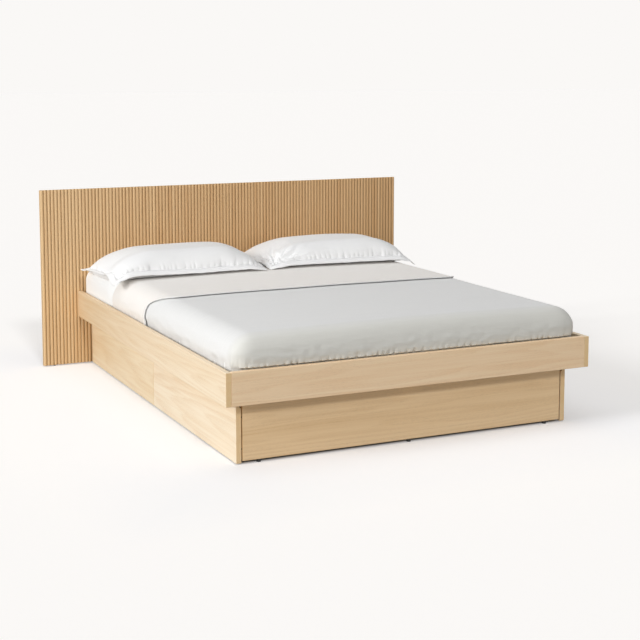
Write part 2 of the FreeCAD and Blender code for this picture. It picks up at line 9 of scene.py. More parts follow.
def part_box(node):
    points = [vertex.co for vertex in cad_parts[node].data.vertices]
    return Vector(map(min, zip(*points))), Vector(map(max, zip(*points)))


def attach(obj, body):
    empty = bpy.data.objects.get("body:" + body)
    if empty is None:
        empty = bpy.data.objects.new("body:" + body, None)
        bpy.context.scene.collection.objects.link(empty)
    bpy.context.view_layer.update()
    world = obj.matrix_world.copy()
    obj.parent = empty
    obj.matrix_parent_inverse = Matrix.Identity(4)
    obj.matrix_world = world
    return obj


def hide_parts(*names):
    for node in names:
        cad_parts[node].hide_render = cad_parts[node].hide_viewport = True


bl_info = {
    "name": "Oak Storage Bed",
    "version": (1, 0, 0),
    "blender": (4, 5, 0),
    "location": "3D View > Sidebar > Bed",
    "description": "Dresses an oak storage bed: its wood, its metalwork and its bedding",
    "category": "Add Mesh",
}

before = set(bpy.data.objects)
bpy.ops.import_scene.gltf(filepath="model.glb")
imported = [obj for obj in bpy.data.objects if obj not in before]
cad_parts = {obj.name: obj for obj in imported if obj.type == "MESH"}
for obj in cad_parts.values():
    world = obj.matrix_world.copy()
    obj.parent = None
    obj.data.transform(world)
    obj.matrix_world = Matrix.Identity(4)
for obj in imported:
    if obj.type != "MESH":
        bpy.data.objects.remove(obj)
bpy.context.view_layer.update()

# Measures taken from the frame
MATTRESS_LOW, MATTRESS_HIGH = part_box("mattress")
DUVET_LOW, DUVET_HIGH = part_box("duvet")
SHEET_LOW, SHEET_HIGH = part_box("fitted_sheet")
SLATS_LOW, SLATS_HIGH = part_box("headboard_slats")
RAIL_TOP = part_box("side_rail_left")[1].z
SLAT_COUNT = 113
SLAT_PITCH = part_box("headboard_panel")[1].x * 2 / SLAT_COUNT

# Where the duvet folds back and the cuff's hem lies on top, and how low the cuff's sides hang
FOLD_LINE = 0.52
HEM_LINE = -0.128
CUFF_LOW = 0.349


def screen(red, green, blue):
    """A colour as the screen shows it, from 0 to 255, as the shader needs it."""
    def plain(value):
        value = value / 255
        return value / 12.92 if value <= 0.04045 else ((value + 0.055) / 1.055) ** 2.4
    return plain(red), plain(green), plain(blue)


def colour(name, description, default):
    """A colour that a user may change."""
    return FloatVectorProperty(name=name, description=description, default=default,
                               subtype="COLOR", size=3, min=0, max=1)


def length(name, description, default):
    """A length in metres that a user may change."""
    return FloatProperty(name=name, description=description, default=default, min=0, unit="LENGTH")


class BedColours(bpy.types.PropertyGroup):
    """The finishes that a user would change."""
    oak_light: colour("Oak light", "Early wood of the lacquered oak", screen(251, 232, 192))
    oak_dark: colour("Oak dark", "Late wood of the lacquered oak", screen(231, 195, 140))
    slat_light: colour("Slat light", "Early wood of the reeded headboard", screen(229, 194, 146))
    slat_dark: colour("Slat dark", "Late wood of the reeded headboard", screen(203, 161, 110))
    inner_light: colour("Inner wood light", "Early wood of the hidden boards", screen(233, 215, 182))
    inner_dark: colour("Inner wood dark", "Late wood of the hidden boards", screen(211, 183, 141))
    linen: colour("Linen", "Face of the duvet", screen(229, 229, 228))
    linen_back: colour("Linen reverse", "Reverse of the duvet, seen on the cuff", screen(245, 241, 236))
    cotton: colour("Cotton", "Pillowcases", screen(243, 243, 243))
    sheet: colour("Sheet", "Fitted sheet", screen(253, 255, 255))
    ticking: colour("Ticking", "Cover of the mattress", screen(228, 226, 220))
    steel: colour("Steel", "Zinc plated slides and bolts", screen(176, 178, 180))
    plastic: colour("Plastic", "Feet", screen(30, 30, 30))
    rubber: colour("Rubber", "Drawer stops", screen(58, 58, 58))
    backdrop: colour("Backdrop", "Floor and background", screen(250, 248, 246))


class BedSizes(bpy.types.PropertyGroup):
    """The sizes of the bedding that a user would change."""
    duvet_half: length("Duvet half width", "From the bed's middle line to the duvet's side", 0.7905)
    shoulder: length("Shoulder", "Radius of the duvet over the mattress's long edge", 0.105)
    foot_round: length("Foot edge", "Radius of the duvet over the mattress's foot edge", 0.06)
    crown: length("Crown", "How much lower the bed is at its sides than in the middle", 0.010)
    cloth_thick: length("Duvet thickness", "Thickness of the duvet where it lies", 0.009)
    cuff_thick: length("Cuff thickness", "Thickness of the folded back end", 0.0052)
    flange: length("Flange", "Flat border of the pillowcases", 0.024)
    thread: length("Thread", "Width of one thread of the weave", 0.0007)


class BedSettings(bpy.types.PropertyGroup):
    """Everything that the panel shows."""
    colours: PointerProperty(type=BedColours)
    sizes: PointerProperty(type=BedSizes)


def settings():
    """The bed's settings on the scene."""
    return bpy.context.scene.bed_settings


# Shader nodes, written as formulas
class Term:
    """An output of a node, which formulas use like a number."""

    def __init__(self, node, output=0):
        self.tree, self.output = node.id_data, node.outputs[output]

    def maths(self, operation, other=0.0, clamp=False):
        """A maths node on this term and another term or number."""
        node = add(self.tree, "ShaderNodeMath", {0: self, 1: other}, operation=operation, use_clamp=clamp)
        return Term(node)

    def __add__(self, other):
        return self.maths("ADD", other)

    def __sub__(self, other):
        return self.maths("SUBTRACT", other)

    def __mul__(self, other):
        return self.maths("MULTIPLY", other)

    def __truediv__(self, other):
        return self.maths("DIVIDE", other)

    def __abs__(self):
        return self.maths("ABSOLUTE")

    def spread(self, low, high, to_low=0.0, to_high=1.0):
        """Stretches a range of values to another one."""
        inputs = {"Value": self, "From Min": low, "From Max": high, "To Min": to_low, "To Max": to_high}
        return Term(add(self.tree, "ShaderNodeMapRange", inputs, clamp=True))

    def blend(self, first, second):
        """Mixes two colours, each a term or three numbers, by this term."""
        first, second = (shade if isinstance(shade, Term) else (*shade, 1) for shade in (first, second))
        inputs = {"Factor": self, 6: first, 7: second}
        return Term(add(self.tree, "ShaderNodeMix", inputs, data_type="RGBA"), 2)


def join(term, socket):
    """Links a term to an input."""
    term.tree.links.new(term.output, socket)


def add(tree, kind, inputs=None, **properties):
    """A node with its properties set by name, and its inputs linked or set by label or number."""
    node = tree.nodes.new(kind)
    for key, value in properties.items():
        setattr(node, key, value)
    for key, value in (inputs or {}).items():
        if isinstance(value, Term):
            join(value, node.inputs[key])
        else:
            node.inputs[key].default_value = value
    return node


def vector_maths(operation, first, second):
    """A maths node on two vectors, the second one a term or three numbers."""
    return Term(add(first.tree, "ShaderNodeVectorMath", {0: first, 1: second}, operation=operation))


def speckle(vector, scale, detail=2.0, rough=0.5):
    """Noise on a vector, at one scale or at one for each axis."""
    if isinstance(scale, tuple):
        vector, scale = vector_maths("MULTIPLY", vector, scale), 1.0
    inputs = {"Vector": vector, "Scale": scale, "Detail": detail, "Roughness": rough}
    return Term(add(vector.tree, "ShaderNodeTexNoise", inputs), "Fac")


def split(vector):
    """The X, Y and Z of a vector, by their letters."""
    node = add(vector.tree, "ShaderNodeSeparateXYZ", {0: vector})
    return {axis: Term(node, axis) for axis in "XYZ"}


def shaded_place(tree, kind="Object"):
    """The place that is shaded, in the coordinates of the given kind."""
    return Term(add(tree, "ShaderNodeTexCoord"), kind)


def times(shade, shares):
    """A colour times a share, or times one share for each of its parts."""
    shares = shares if isinstance(shares, tuple) else (shares,) * 3
    return tuple(part * share for part, share in zip(shade, shares))


def new_group(name, numbers, results):
    """A node group that takes a vector and the named numbers, and those as terms."""
    group = bpy.data.node_groups.new(name, "ShaderNodeTree")
    group.interface.new_socket("Vector", in_out="INPUT", socket_type="NodeSocketVector")
    for labels, way in ((numbers, "INPUT"), (results, "OUTPUT")):
        for label in labels:
            group.interface.new_socket(label, in_out=way, socket_type="NodeSocketFloat")
    given = add(group, "NodeGroupInput")
    return group, [Term(given, label) for label in ("Vector", *numbers)]


def wood_group():
    """Oak grain that runs along X: growth rings cut at a shallow angle, streaks, fibres and pores."""
    group, (vector, rings, slope, depth, figure) = new_group(
        "Oak grain", ("Rings", "Slope", "Depth", "Figure"), ("Tone", "Pores", "Height"))
    broad = speckle(vector, (0.45, 7.0, 7.0)) - 0.5
    sway = speckle(vector, (1.3, 4.0, 4.0)) - 0.5
    streak = speckle(vector, (0.9, 58.0, 58.0), 4.0, 0.62)
    fibre = speckle(vector, (7.0, 420.0, 420.0), 3.0, 0.6)
    pore = speckle(vector, (70.0, 1900.0, 1900.0), 1.0)
    place = split(vector)
    deep = place["X"] * slope + depth + broad * 0.09
    across = place["Y"] + sway * 0.045
    radius = (deep * deep + across * across).maths("SQRT")
    ring = (radius * rings + streak * 0.9).maths("FRACT")
    late = ring.spread(0.25, 0.86) * ring.spread(1.0, 0.9)
    tone = late * figure + streak.spread(0.3, 0.72) * 0.36 + fibre.spread(0.3, 0.7) * 0.16 + broad * 0.9
    pores = pore.spread(0.6, 0.68) * late.spread(0.0, 0.7, 0.35, 1.0)
    add(group, "NodeGroupOutput", {"Tone": tone.maths("ADD", 0.04, clamp=True), "Pores": pores,
                                   "Height": fibre * 0.5 - pores})
    return group


def weave_group():
    """Plain weave on a flat cloth in metres: crossing threads, slubs and a slow mottle."""
    group, (vector, thread, slubs, crinkle) = new_group(
        "Plain weave", ("Thread", "Slub", "Crinkle"), ("Tone", "Height"))
    place = split(vector)
    warp, weft = ((place[axis] / thread * math.pi).maths("SINE") for axis in "XY")
    slub = (speckle(vector, (16.0, 700.0, 1.0)) + speckle(vector, (700.0, 16.0, 1.0))) * slubs
    streak = speckle(vector, (5.0, 95.0, 1.0), 3.0, 0.6)
    mottle = speckle(vector, 3.5, 3.0)
    folds = speckle(vector, (11.0, 30.0, 1.0), 3.0, 0.55)
    add(group, "NodeGroupOutput", {
        "Tone": slub.spread(0.6, 1.4) * 0.45 + (mottle * 0.25 + streak.spread(0.3, 0.7) * 0.3),
        "Height": warp * weft * 0.5 + slub + folds * crinkle})
    return group


def start_material(name, roughness, **plain):
    """A material with its shader, and its plain values set on the shader itself."""
    made = bpy.data.materials.new(name)
    made.use_nodes = True
    shader = made.node_tree.nodes["Principled BSDF"]
    for label, value in {"Roughness": roughness, **plain}.items():
        shader.inputs[label.replace("_", " ")].default_value = value
    return made, made.node_tree, shader


def surface(shader, shown, height, distance, strength, roughness=None):
    """Gives a shader its colour, its relief and, where it varies, its roughness."""
    inputs = {"Height": height, "Distance": distance, "Strength": strength}
    relief = add(shown.tree, "ShaderNodeBump", inputs)
    join(shown, shader.inputs["Base Color"])
    join(Term(relief), shader.inputs["Normal"])
    if roughness:
        join(roughness, shader.inputs["Roughness"])


# How painted shade darkens the seams between the headboard's slats, and how an end face and the pores differ
# from the late wood
SHADE_IN_GROOVE_FROM, SHADE_IN_GROOVE_TO, SHADE_IN_GROOVE_SHARE, SHADE_IN_GROOVE_TINT = 0.46, 0.72, 0.85, 0.50
END_SHARE, END_TINT = 0.7, (1.10, 1.04, 0.83)
PORE_SHARE, PORE_TINT = 0.3, 0.5
# How far the slats differ from each other in tone, and by their places in the tree
OWN_TONE = 0.12
OWN_PLACE = (5.0, 5.0, 5.0)


def wood(name, grain, axes, light, dark, shift, cut, roughness=0.5, slats=False, painted_head_shade=0.0):
    """A lacquered board with its grain along the first of the axes.

    shift is its place in the tree, and cut its rings, their slope and depth and how they figure.
    Its last argument paints shade that deepens its tone towards its head end. Each slat has a place and a
    tone of its own, painted light makes the slats lighter towards the headboard's left end, and painted
    shade darkens the seams between them."""
    made, tree, shader = start_material(name, roughness, Coat_Weight=0.06, Coat_Roughness=0.4)
    place = split(shaded_place(tree))
    turned = add(tree, "ShaderNodeCombineXYZ", {to: place[axis] for to, axis in zip("XYZ", axes)})
    vector = vector_maths("ADD", Term(turned), shift)
    if slats:
        count = ((place["X"] + SLAT_PITCH / 2) / SLAT_PITCH).maths("FLOOR")
        own = add(tree, "ShaderNodeTexWhiteNoise", {"W": count}, noise_dimensions="1D")
        vector = vector_maths("ADD", vector, vector_maths("MULTIPLY", Term(own, "Color"), OWN_PLACE))
    inputs = dict(zip(("Vector", "Rings", "Slope", "Depth", "Figure"), (vector, *cut)))
    board = add(tree, "ShaderNodeGroup", inputs, node_tree=grain)
    tone = Term(board, "Tone")
    if slats:
        tone = tone + (Term(own, "Value") - 0.5) * OWN_TONE
        # Painted light: the slats lighter towards the headboard's left end and darker from its middle on
        tone = tone.maths("ADD", place["X"].spread(-1.0, -0.1, -0.32, 0.26), clamp=True)
    # Painted shade that deepens the tone towards the board's head end
    if painted_head_shade:
        tone = tone + place[axes[0]].spread(-0.4, 1.0, 0.0, painted_head_shade)
    shown = (Term(board, "Pores") * PORE_SHARE).blend(tone.blend(light, dark), times(dark, PORE_TINT))
    if slats:
        # Painted shade in the seams between the slats, deepest towards the board behind them
        deep = SLATS_HIGH.y - SLATS_LOW.y
        painted_groove_shade = place["Y"].spread(SLATS_LOW.y + SHADE_IN_GROOVE_FROM * deep, SLATS_LOW.y + SHADE_IN_GROOVE_TO * deep,
                                   0.0, SHADE_IN_GROOVE_SHARE)
        shown = painted_groove_shade.blend(shown, times(dark, SHADE_IN_GROOVE_TINT))
    else:
        at_end = abs(split(shaded_place(tree, "Normal"))[axes[0]]).spread(0.6, 0.9)
        shown = (at_end * END_SHARE).blend(shown, times(dark, END_TINT))
    worn = Term(board, "Tone").spread(0, 1, roughness + 0.06, roughness - 0.06)
    surface(shader, shown, Term(board, "Height"), 0.0002, 0.4, worn)
    return made


def cloth(name, weave, shade, thread, slub=1.0, variation=0.05, sheen=0.25, crinkle=0.0, foot_painted_shade=None):
    """Woven cloth, its threads laid out on its flat cut in metres; the last argument paints shade, warmed as
    by the wood's bounce, onto the duvet's foot face.
    """
    made, tree, shader = start_material(name, 0.85, Sheen_Weight=sheen, Sheen_Roughness=0.5,
                                        Specular_IOR_Level=0.25)
    inputs = {"Vector": shaded_place(tree, "UV"), "Thread": thread, "Slub": slub, "Crinkle": crinkle}
    woven = add(tree, "ShaderNodeGroup", inputs, node_tree=weave)
    tone = Term(woven, "Tone")
    light = tuple(min(1.0, part) for part in times(shade, 1 + variation))
    dark = times(shade, 1 - variation)
    shown = tone.blend(light, dark)
    if foot_painted_shade:
        # Painted shade, warmed as by the wood's bounce, on the duvet's foot face
        painted_shade_at_foot = split(shaded_place(tree))["Y"].spread(DUVET_LOW.y + 0.080, DUVET_LOW.y + 0.015)
        shown = painted_shade_at_foot.blend(shown, tone.blend(times(light, foot_painted_shade), times(dark, foot_painted_shade)))
    surface(shader, shown, Term(woven, "Height"), 0.0003, 0.35)
    return made


def metal(name, shade, roughness=0.34):
    """Zinc plated steel with fine rolling marks."""
    made, tree, shader = start_material(name, roughness, Metallic=1.0)
    where = shaded_place(tree)
    marks = speckle(where, (14.0, 900.0, 900.0), 3.0)
    patches = speckle(where, 38.0, 3.0)
    surface(shader, patches.blend(shade, times(shade, 0.8)), marks, 0.0001, 0.4,
            patches.spread(0.2, 0.8, roughness - 0.08, roughness + 0.1))
    return made


def moulded(name, shade, roughness):
    """Moulded plastic or rubber with a fine texture and scuffs."""
    made, tree, shader = start_material(name, roughness)
    where = shaded_place(tree)
    fine = speckle(where, 2600.0)
    scuffs = speckle(where, 90.0, 4.0, 0.7)
    pale = tuple(min(1.0, part * 1.7 + 0.01) for part in shade)
    surface(shader, scuffs.spread(0.5, 0.8, 0.0, 0.6).blend(shade, pale), fine, 0.0001, 0.5,
            scuffs.spread(0.3, 0.8, roughness, roughness + 0.15))
    return made


# Meshes
def dress(node, finish):
    """Gives a node of the frame its finish."""
    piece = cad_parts[node]
    if not piece.material_slots:
        piece.data.materials.append(finish)
    piece.material_slots[0].material = finish


def deselect():
    """Nothing is selected or in edit mode before a new piece is started."""
    if bpy.context.object and bpy.context.object.mode != "OBJECT":
        bpy.ops.object.mode_set(mode="OBJECT")
    bpy.ops.object.select_all(action="DESELECT")


def choose(piece):
    """Makes one piece the only selected and active one."""
    deselect()
    piece.select_set(True)
    bpy.context.view_layer.objects.active = piece


def unite(piece, others):
    """Joins other pieces to one."""
    choose(piece)
    for other in others:
        other.select_set(True)
    bpy.ops.object.join()


def apply_all(piece):
    """Applies every modifier of a piece, from the top."""
    choose(piece)
    for modifier in list(piece.modifiers):
        bpy.ops.object.modifier_apply(modifier=modifier.name)


def smooth(piece):
    """Shades a piece smooth."""
    choose(piece)
    bpy.ops.object.shade_smooth()


def steps(start, end, count):
    """Evenly spaced places, both ends among them."""
    return [start + (end - start) * index / count for index in range(count + 1)]


def run_over(low, start, end, high, past, between):
    """Places on a cloth, with so many steps past the ends of a block's flat top and between them."""
    return steps(low, start, past)[:-1] + steps(start, end, between) + steps(end, high, past)[1:]


def ease(value, low, high):
    """Goes smoothly from 0 to 1 between two values."""
    part = min(max((value - low) / (high - low), 0.0), 1.0)
    return part * part * (3 - 2 * part)


def wave(x, y, scale, seed):
    """Smooth noise from -1 to 1 at a place on a cloth."""
    return noise.noise(Vector((x * scale, y * scale, seed)))


def new_cloth(name, columns, rows):
    """A flat cut of cloth with its threads at the given places, and those as its UV map, in metres."""
    deselect()
    wide, long = len(columns) - 1, len(rows) - 1
    bpy.ops.mesh.primitive_grid_add(x_subdivisions=wide, y_subdivisions=long, size=2, calc_uvs=True)
    piece = bpy.context.object
    piece.name = piece.data.name = name
    for vertex in piece.data.vertices:
        column = round((vertex.co.x + 1) / 2 * wide)
        row = round((vertex.co.y + 1) / 2 * long)
        vertex.co = (columns[column], rows[row], 0)
    flat = piece.data.uv_layers.active
    for loop in piece.data.loops:
        place = piece.data.vertices[loop.vertex_index].co
        flat.data[loop.index].uv = (place.x, place.y)
    return piece


def thicken(piece, thick, group=None, least=1.0, backing=0):
    """Gives a cloth its thickness, on the side that it lies on."""
    solid = piece.modifiers.new("Thickness", "SOLIDIFY")
    solid.thickness = thick
    solid.offset = -1
    solid.material_offset = backing
    if group:
        solid.vertex_group = group
        solid.thickness_vertex_group = least
    smooth(piece)
    apply_all(piece)


class Made:
    """The rounded block of the made bed that one layer of bedding follows.

    It reaches half to each side and ends at foot and head. Its top is crowned by crown, its long
    edges are rounded by side and its ends by end, and below the belly's height it draws in by tuck."""

    def __init__(self, half, foot, head, top, side, end, crown=0.0, tuck=0.0, belly=0.43):
        self.half, self.foot, self.head, self.top = half, foot, head, top
        self.side, self.end, self.crown, self.tuck, self.belly = side, end, crown, tuck, belly

    def surface(self, x):
        """The height of the top at a distance from the middle."""
        return self.top - self.crown * (x / self.half) ** 2

    def lay(self, across, along):
        """The place and the way it faces for a point of a cloth that lies on the block.

        across is measured on the cloth from the middle, and along is the place on the length
        while the cloth is on top, running on past the ends by its own measure."""
        hand = 1 if across >= 0 else -1
        tail = -1 if along < (self.foot + self.head) / 2 else 1
        end = self.foot if tail < 0 else self.head
        flat_x = self.half - self.side
        past_x = abs(across) - flat_x
        past_y = tail * (along - end) + self.end
        if past_x <= 0 and past_y <= 0:
            return Vector((across, along, self.surface(across))), Vector((0, 0, 1))
        if past_x >= past_y:
            distance, turn = past_x, math.pi / 4 * max(past_y, 0) / past_x
        else:
            distance, turn = past_y, math.pi / 2 - math.pi / 4 * max(past_x, 0) / past_y
        part = math.sin(turn) ** 2
        radius = self.side * (1 - part) + self.end * part
        quarter = radius * math.pi / 2
        angle = min(distance / radius, math.pi / 2)
        down = radius * (1 - math.cos(angle)) + max(distance - quarter, 0)
        lean = math.sin(angle)
        draw = self.tuck * ease(self.top - down, self.belly, self.belly - 0.1)
        out_x = (self.side * lean - draw) * math.cos(turn) ** 0.8
        out_y = (self.end * lean - draw) * math.sin(turn) ** 0.8 if turn > 0 else 0.0
        x = hand * (min(abs(across), flat_x) + out_x)
        y = (along if past_y <= 0 else end - tail * self.end) + tail * out_y
        facing = Vector((hand * math.cos(turn) * lean, tail * math.sin(turn) * lean, math.cos(angle)))
        return Vector((x, y, self.surface(x) - down)), facing

    def reach(self, low, end=False):
        """How far a cloth runs past the start of an edge's round before it is down at low."""
        radius = self.end if end else self.side
        return radius * math.pi / 2 + self.surface(self.half) - radius - low


# How far the duvet's face lies inside and under its solid, how far it draws in below its belly, and a
# place past the bed's head, since the duvet ends before it
DUVET_IN, DUVET_UNDER, DUVET_TUCK, PAST_HEAD = 0.0012, 0.005, 0.006, 9.0


def duvet_form(lift=0.0):
    """The made bed at the duvet's face, or a little outside it; it runs on past the head."""
    sizes = settings().sizes
    return Made(sizes.duvet_half + lift, DUVET_LOW.y + DUVET_IN - lift * 0.2, PAST_HEAD,
                DUVET_HIGH.z - DUVET_UNDER + lift, sizes.shoulder + lift, sizes.foot_round + lift,
                sizes.crown, DUVET_TUCK)


def cuff_hem(across, x_run):
    """Where the cuff's hem crosses the bed, on top or x_run past the shoulder's start on the cloth."""
    sag = 0.021 * max(0.0, 1 - ((across - 0.2) / 0.75) ** 2)
    return HEM_LINE - sag + 0.004 * wave(across, 0, 3.1, 4.2) + 0.150 * ease(x_run, 0.0, 0.115)


# Each board's grain axes, its place in the tree, its rings, slope, depth and figure, its tint and its
# painted shade towards its head end
SIDE_TINT = (0.92, 0.955, 1.12)
BOARDS = {
    "rail_side_left": ("YZX", (0.3, -0.31, 0.0), (76, 0.030, 0.05, 0.18), SIDE_TINT, 0.45),
    "rail_side_right": ("YZX", (2.7, -0.29, 0.0), (130, 0.024, 0.05, 0.18), SIDE_TINT, 0.45),
    "rail_foot": ("XZY", (1.1, -0.33, 1.0), (150, 0.008, 0.16, 0.20), (1.12, 1.02, 1.12), 0.0),
    "front_a": ("YZX", (4.0, -0.12, 0.0), (66, 0.035, 0.03, 0.2), (0.96, 0.985, 1.10), 0.15),
    "front_b": ("YZX", (6.4, -0.10, 0.0), (54, 0.040, 0.02, 0.26), (0.97, 1.01, 1.2), 0.0),
    "panel_foot": ("XZY", (8.0, -0.16, 1.0), (120, 0.012, 0.1, 0.20), (1.05, 0.97, 0.96), 0.0),
}
SLAT_CUT = (110, 0.02, 0.3, 0.3)
PANEL_CUT = (110, 0.03, 0.1, 0.3)
INNER_PLACE, INNER_CUT = (1.3, 0.2, 0.4), (90, 0.03, 0.08, 0.3)
INNER_AXES = {"inner_x": "XZY", "inner_y": "YZX", "inner_flat": "YXZ"}
# The boards at the foot are a little plainer than the sides, and no tone is brighter than this
FOOT_PLAIN, FOOT_DARK, BRIGHTEST = 0.80, (0.93, 0.97, 1.0), 0.97
# Painted shade, warmed as by the wood's bounce, for the duvet's foot face
DUVET_FOOT_PAINTED_SHADE = (0.90, 0.895, 0.85)


def make_materials():
    """Every finish of the bed, by name."""
    grain, weave = wood_group(), weave_group()
    shade = {key: tuple(getattr(settings().colours, key)) for key in BedColours.__annotations__}
    slat = (shade["slat_light"], shade["slat_dark"])
    thread = settings().sizes.thread
    made = {
        "linen": cloth("Washed linen", weave, shade["linen"], thread, 1.0, 0.045, 0.25, 20.0,
                       DUVET_FOOT_PAINTED_SHADE),
        "linen_back": cloth("Linen reverse", weave, shade["linen_back"], thread, 1.0, 0.04, 0.2, 14.0),
        "cotton": cloth("White cotton", weave, shade["cotton"], thread * 0.6, 0.6, 0.015, 0.15, 2.0),
        "sheet": cloth("Sheet cotton", weave, shade["sheet"], thread * 0.6, 0.6, 0.01, 0.15, 2.0),
        "ticking": cloth("Mattress ticking", weave, shade["ticking"], thread * 2, 1.0, 0.04),
        "steel": metal("Zinc plated steel", shade["steel"]),
        "plastic": moulded("Black plastic", shade["plastic"], 0.5),
        "rubber": moulded("Grey rubber", shade["rubber"], 0.8),
        "slats": wood("Oak slats", grain, "ZXY", *slat, (0, 0, 0), SLAT_CUT, slats=True),
        "board": wood("Oak headboard", grain, "ZXY", *slat, (0, 0, 0), PANEL_CUT),
    }
    for key, (axes, shift, cut, tint, painted_head_shade) in BOARDS.items():
        light, dark = times(shade["oak_light"], tint), times(shade["oak_dark"], tint)
        if key in ("rail_foot", "panel_foot"):
            light = tuple(part * FOOT_PLAIN + other * (1 - FOOT_PLAIN) for part, other in zip(light, dark))
            dark = times(dark, FOOT_DARK)
        light, dark = (tuple(min(BRIGHTEST, part) for part in tone) for tone in (light, dark))
        made[key] = wood("Oak " + key.replace("_", " "), grain, axes, light, dark, shift, cut, painted_head_shade=painted_head_shade)
    for key, axes in INNER_AXES.items():
        made[key] = wood("Inner wood " + key[-1], grain, axes, shade["inner_light"], shade["inner_dark"],
                         INNER_PLACE, INNER_CUT, roughness=0.62)
    return made


made_materials = {}


def material(key):
    """A finish by name, with all of them made at the first call."""
    if not made_materials:
        made_materials.update(make_materials())
    return made_materials[key]


# The finish of each wooden node, and of each of a drawer's boards
WOODEN = {
    "headboard_slats": "slats", "headboard_panel": "board",
    "side_rail_left": "rail_side_left", "side_rail_right": "rail_side_right",
    "foot_rail": "rail_foot", "foot_panel": "panel_foot",
    "head_rail": "inner_x", "corner_blocks": "inner_y",
    "ledger_left": "inner_y", "ledger_right": "inner_y", "centre_beam": "inner_y",
    "mattress_slats": "inner_x", "mid_partition": "inner_x", "head_panel": "inner_x",
    "spine_foot": "inner_y", "spine_head": "inner_y",
}
DRAWER = {"side_head": "inner_x", "side_foot": "inner_x", "back": "inner_y", "bottom": "inner_flat"}
FRONTS = {"head": "front_a", "foot": "front_b"}


class BED_OT_wood(bpy.types.Operator):
    """Finish the rails, panels, drawers and slats in oak and plain wood"""
    bl_idname = "bed.wood"
    bl_label = "Wood"

    def execute(self, context):
        finishes = dict(WOODEN)
        for side in ("left", "right"):
            for end, front in FRONTS.items():
                for board, key in {"front": front, **DRAWER}.items():
                    finishes[f"drawer_{side}_{end}_{board}"] = key
        for node, key in finishes.items():
            dress(node, material(key))
        return {"FINISHED"}


class BED_OT_hardware(bpy.types.Operator):
    """Finish the drawer slides, bolts, screws, feet and stops"""
    bl_idname = "bed.hardware"
    bl_label = "Hardware"

    def execute(self, context):
        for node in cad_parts:
            if "slide" in node or "runners" in node:
                dress(node, material("steel"))
        for node, key in (("headboard_bolts", "steel"), ("corner_screws", "steel"),
                          ("floor_glides", "plastic"), ("headboard_glides", "plastic"),
                          ("drawer_bumpers", "rubber")):
            dress(node, material(key))
        return {"FINISHED"}


# The mattress: how far it lies inside the duvet, its round edges, its quilting, and its cords
MATTRESS_IN, MATTRESS_PLAY, MATTRESS_RISE = 0.0152, 0.001, 0.0018
MATTRESS_CUTS = 79
MATTRESS_ROUND = 0.07
QUILT_PITCH, QUILT_DEPTH = 0.19, 0.004
CORD_THICK, CORD_OUT = 0.007, 0.0005
CORD_LOW, CORD_HIGH = 0.052, 0.062
CORD_CORNER, CORD_BEND = 0.08, 0.045


def corded_edge(form, height):
    """A cord sewn round the mattress at one height."""
    deselect()
    bpy.ops.curve.primitive_bezier_circle_add(radius=1)
    cord = bpy.context.object
    cord.name = cord.data.name = "mattress_cord"
    middle = (form.foot + form.head) / 2
    half_x = form.half + CORD_OUT
    half_y = (form.head - form.foot) / 2 + CORD_OUT
    bpy.ops.object.mode_set(mode="EDIT")
    bpy.ops.curve.select_all(action="SELECT")
    bpy.ops.curve.subdivide(number_cuts=1)
    bpy.ops.object.mode_set(mode="OBJECT")
    for index, point in enumerate(cord.data.splines[0].bezier_points):
        hand = 1 if index in (0, 1, 6, 7) else -1
        tail = 1 if index < 4 else -1
        on_side = index in (0, 3, 4, 7)
        x, y = (half_x, half_y - CORD_CORNER) if on_side else (half_x - CORD_CORNER, half_y)
        point.co = (hand * x, middle + tail * y, height)
        along = Vector((0, tail, 0) if on_side else (hand, 0, 0)) * CORD_BEND
        handles = [point.co - along * 0.02, point.co + along]
        if index % 2:
            handles.reverse()
        point.handle_left_type = point.handle_right_type = "FREE"
        point.handle_left, point.handle_right = handles
    cord.data.bevel_depth = CORD_THICK / 2
    cord.data.bevel_resolution = 2
    cord.data.resolution_u = 10
    choose(cord)
    bpy.ops.object.convert(target="MESH")
    return bpy.context.object


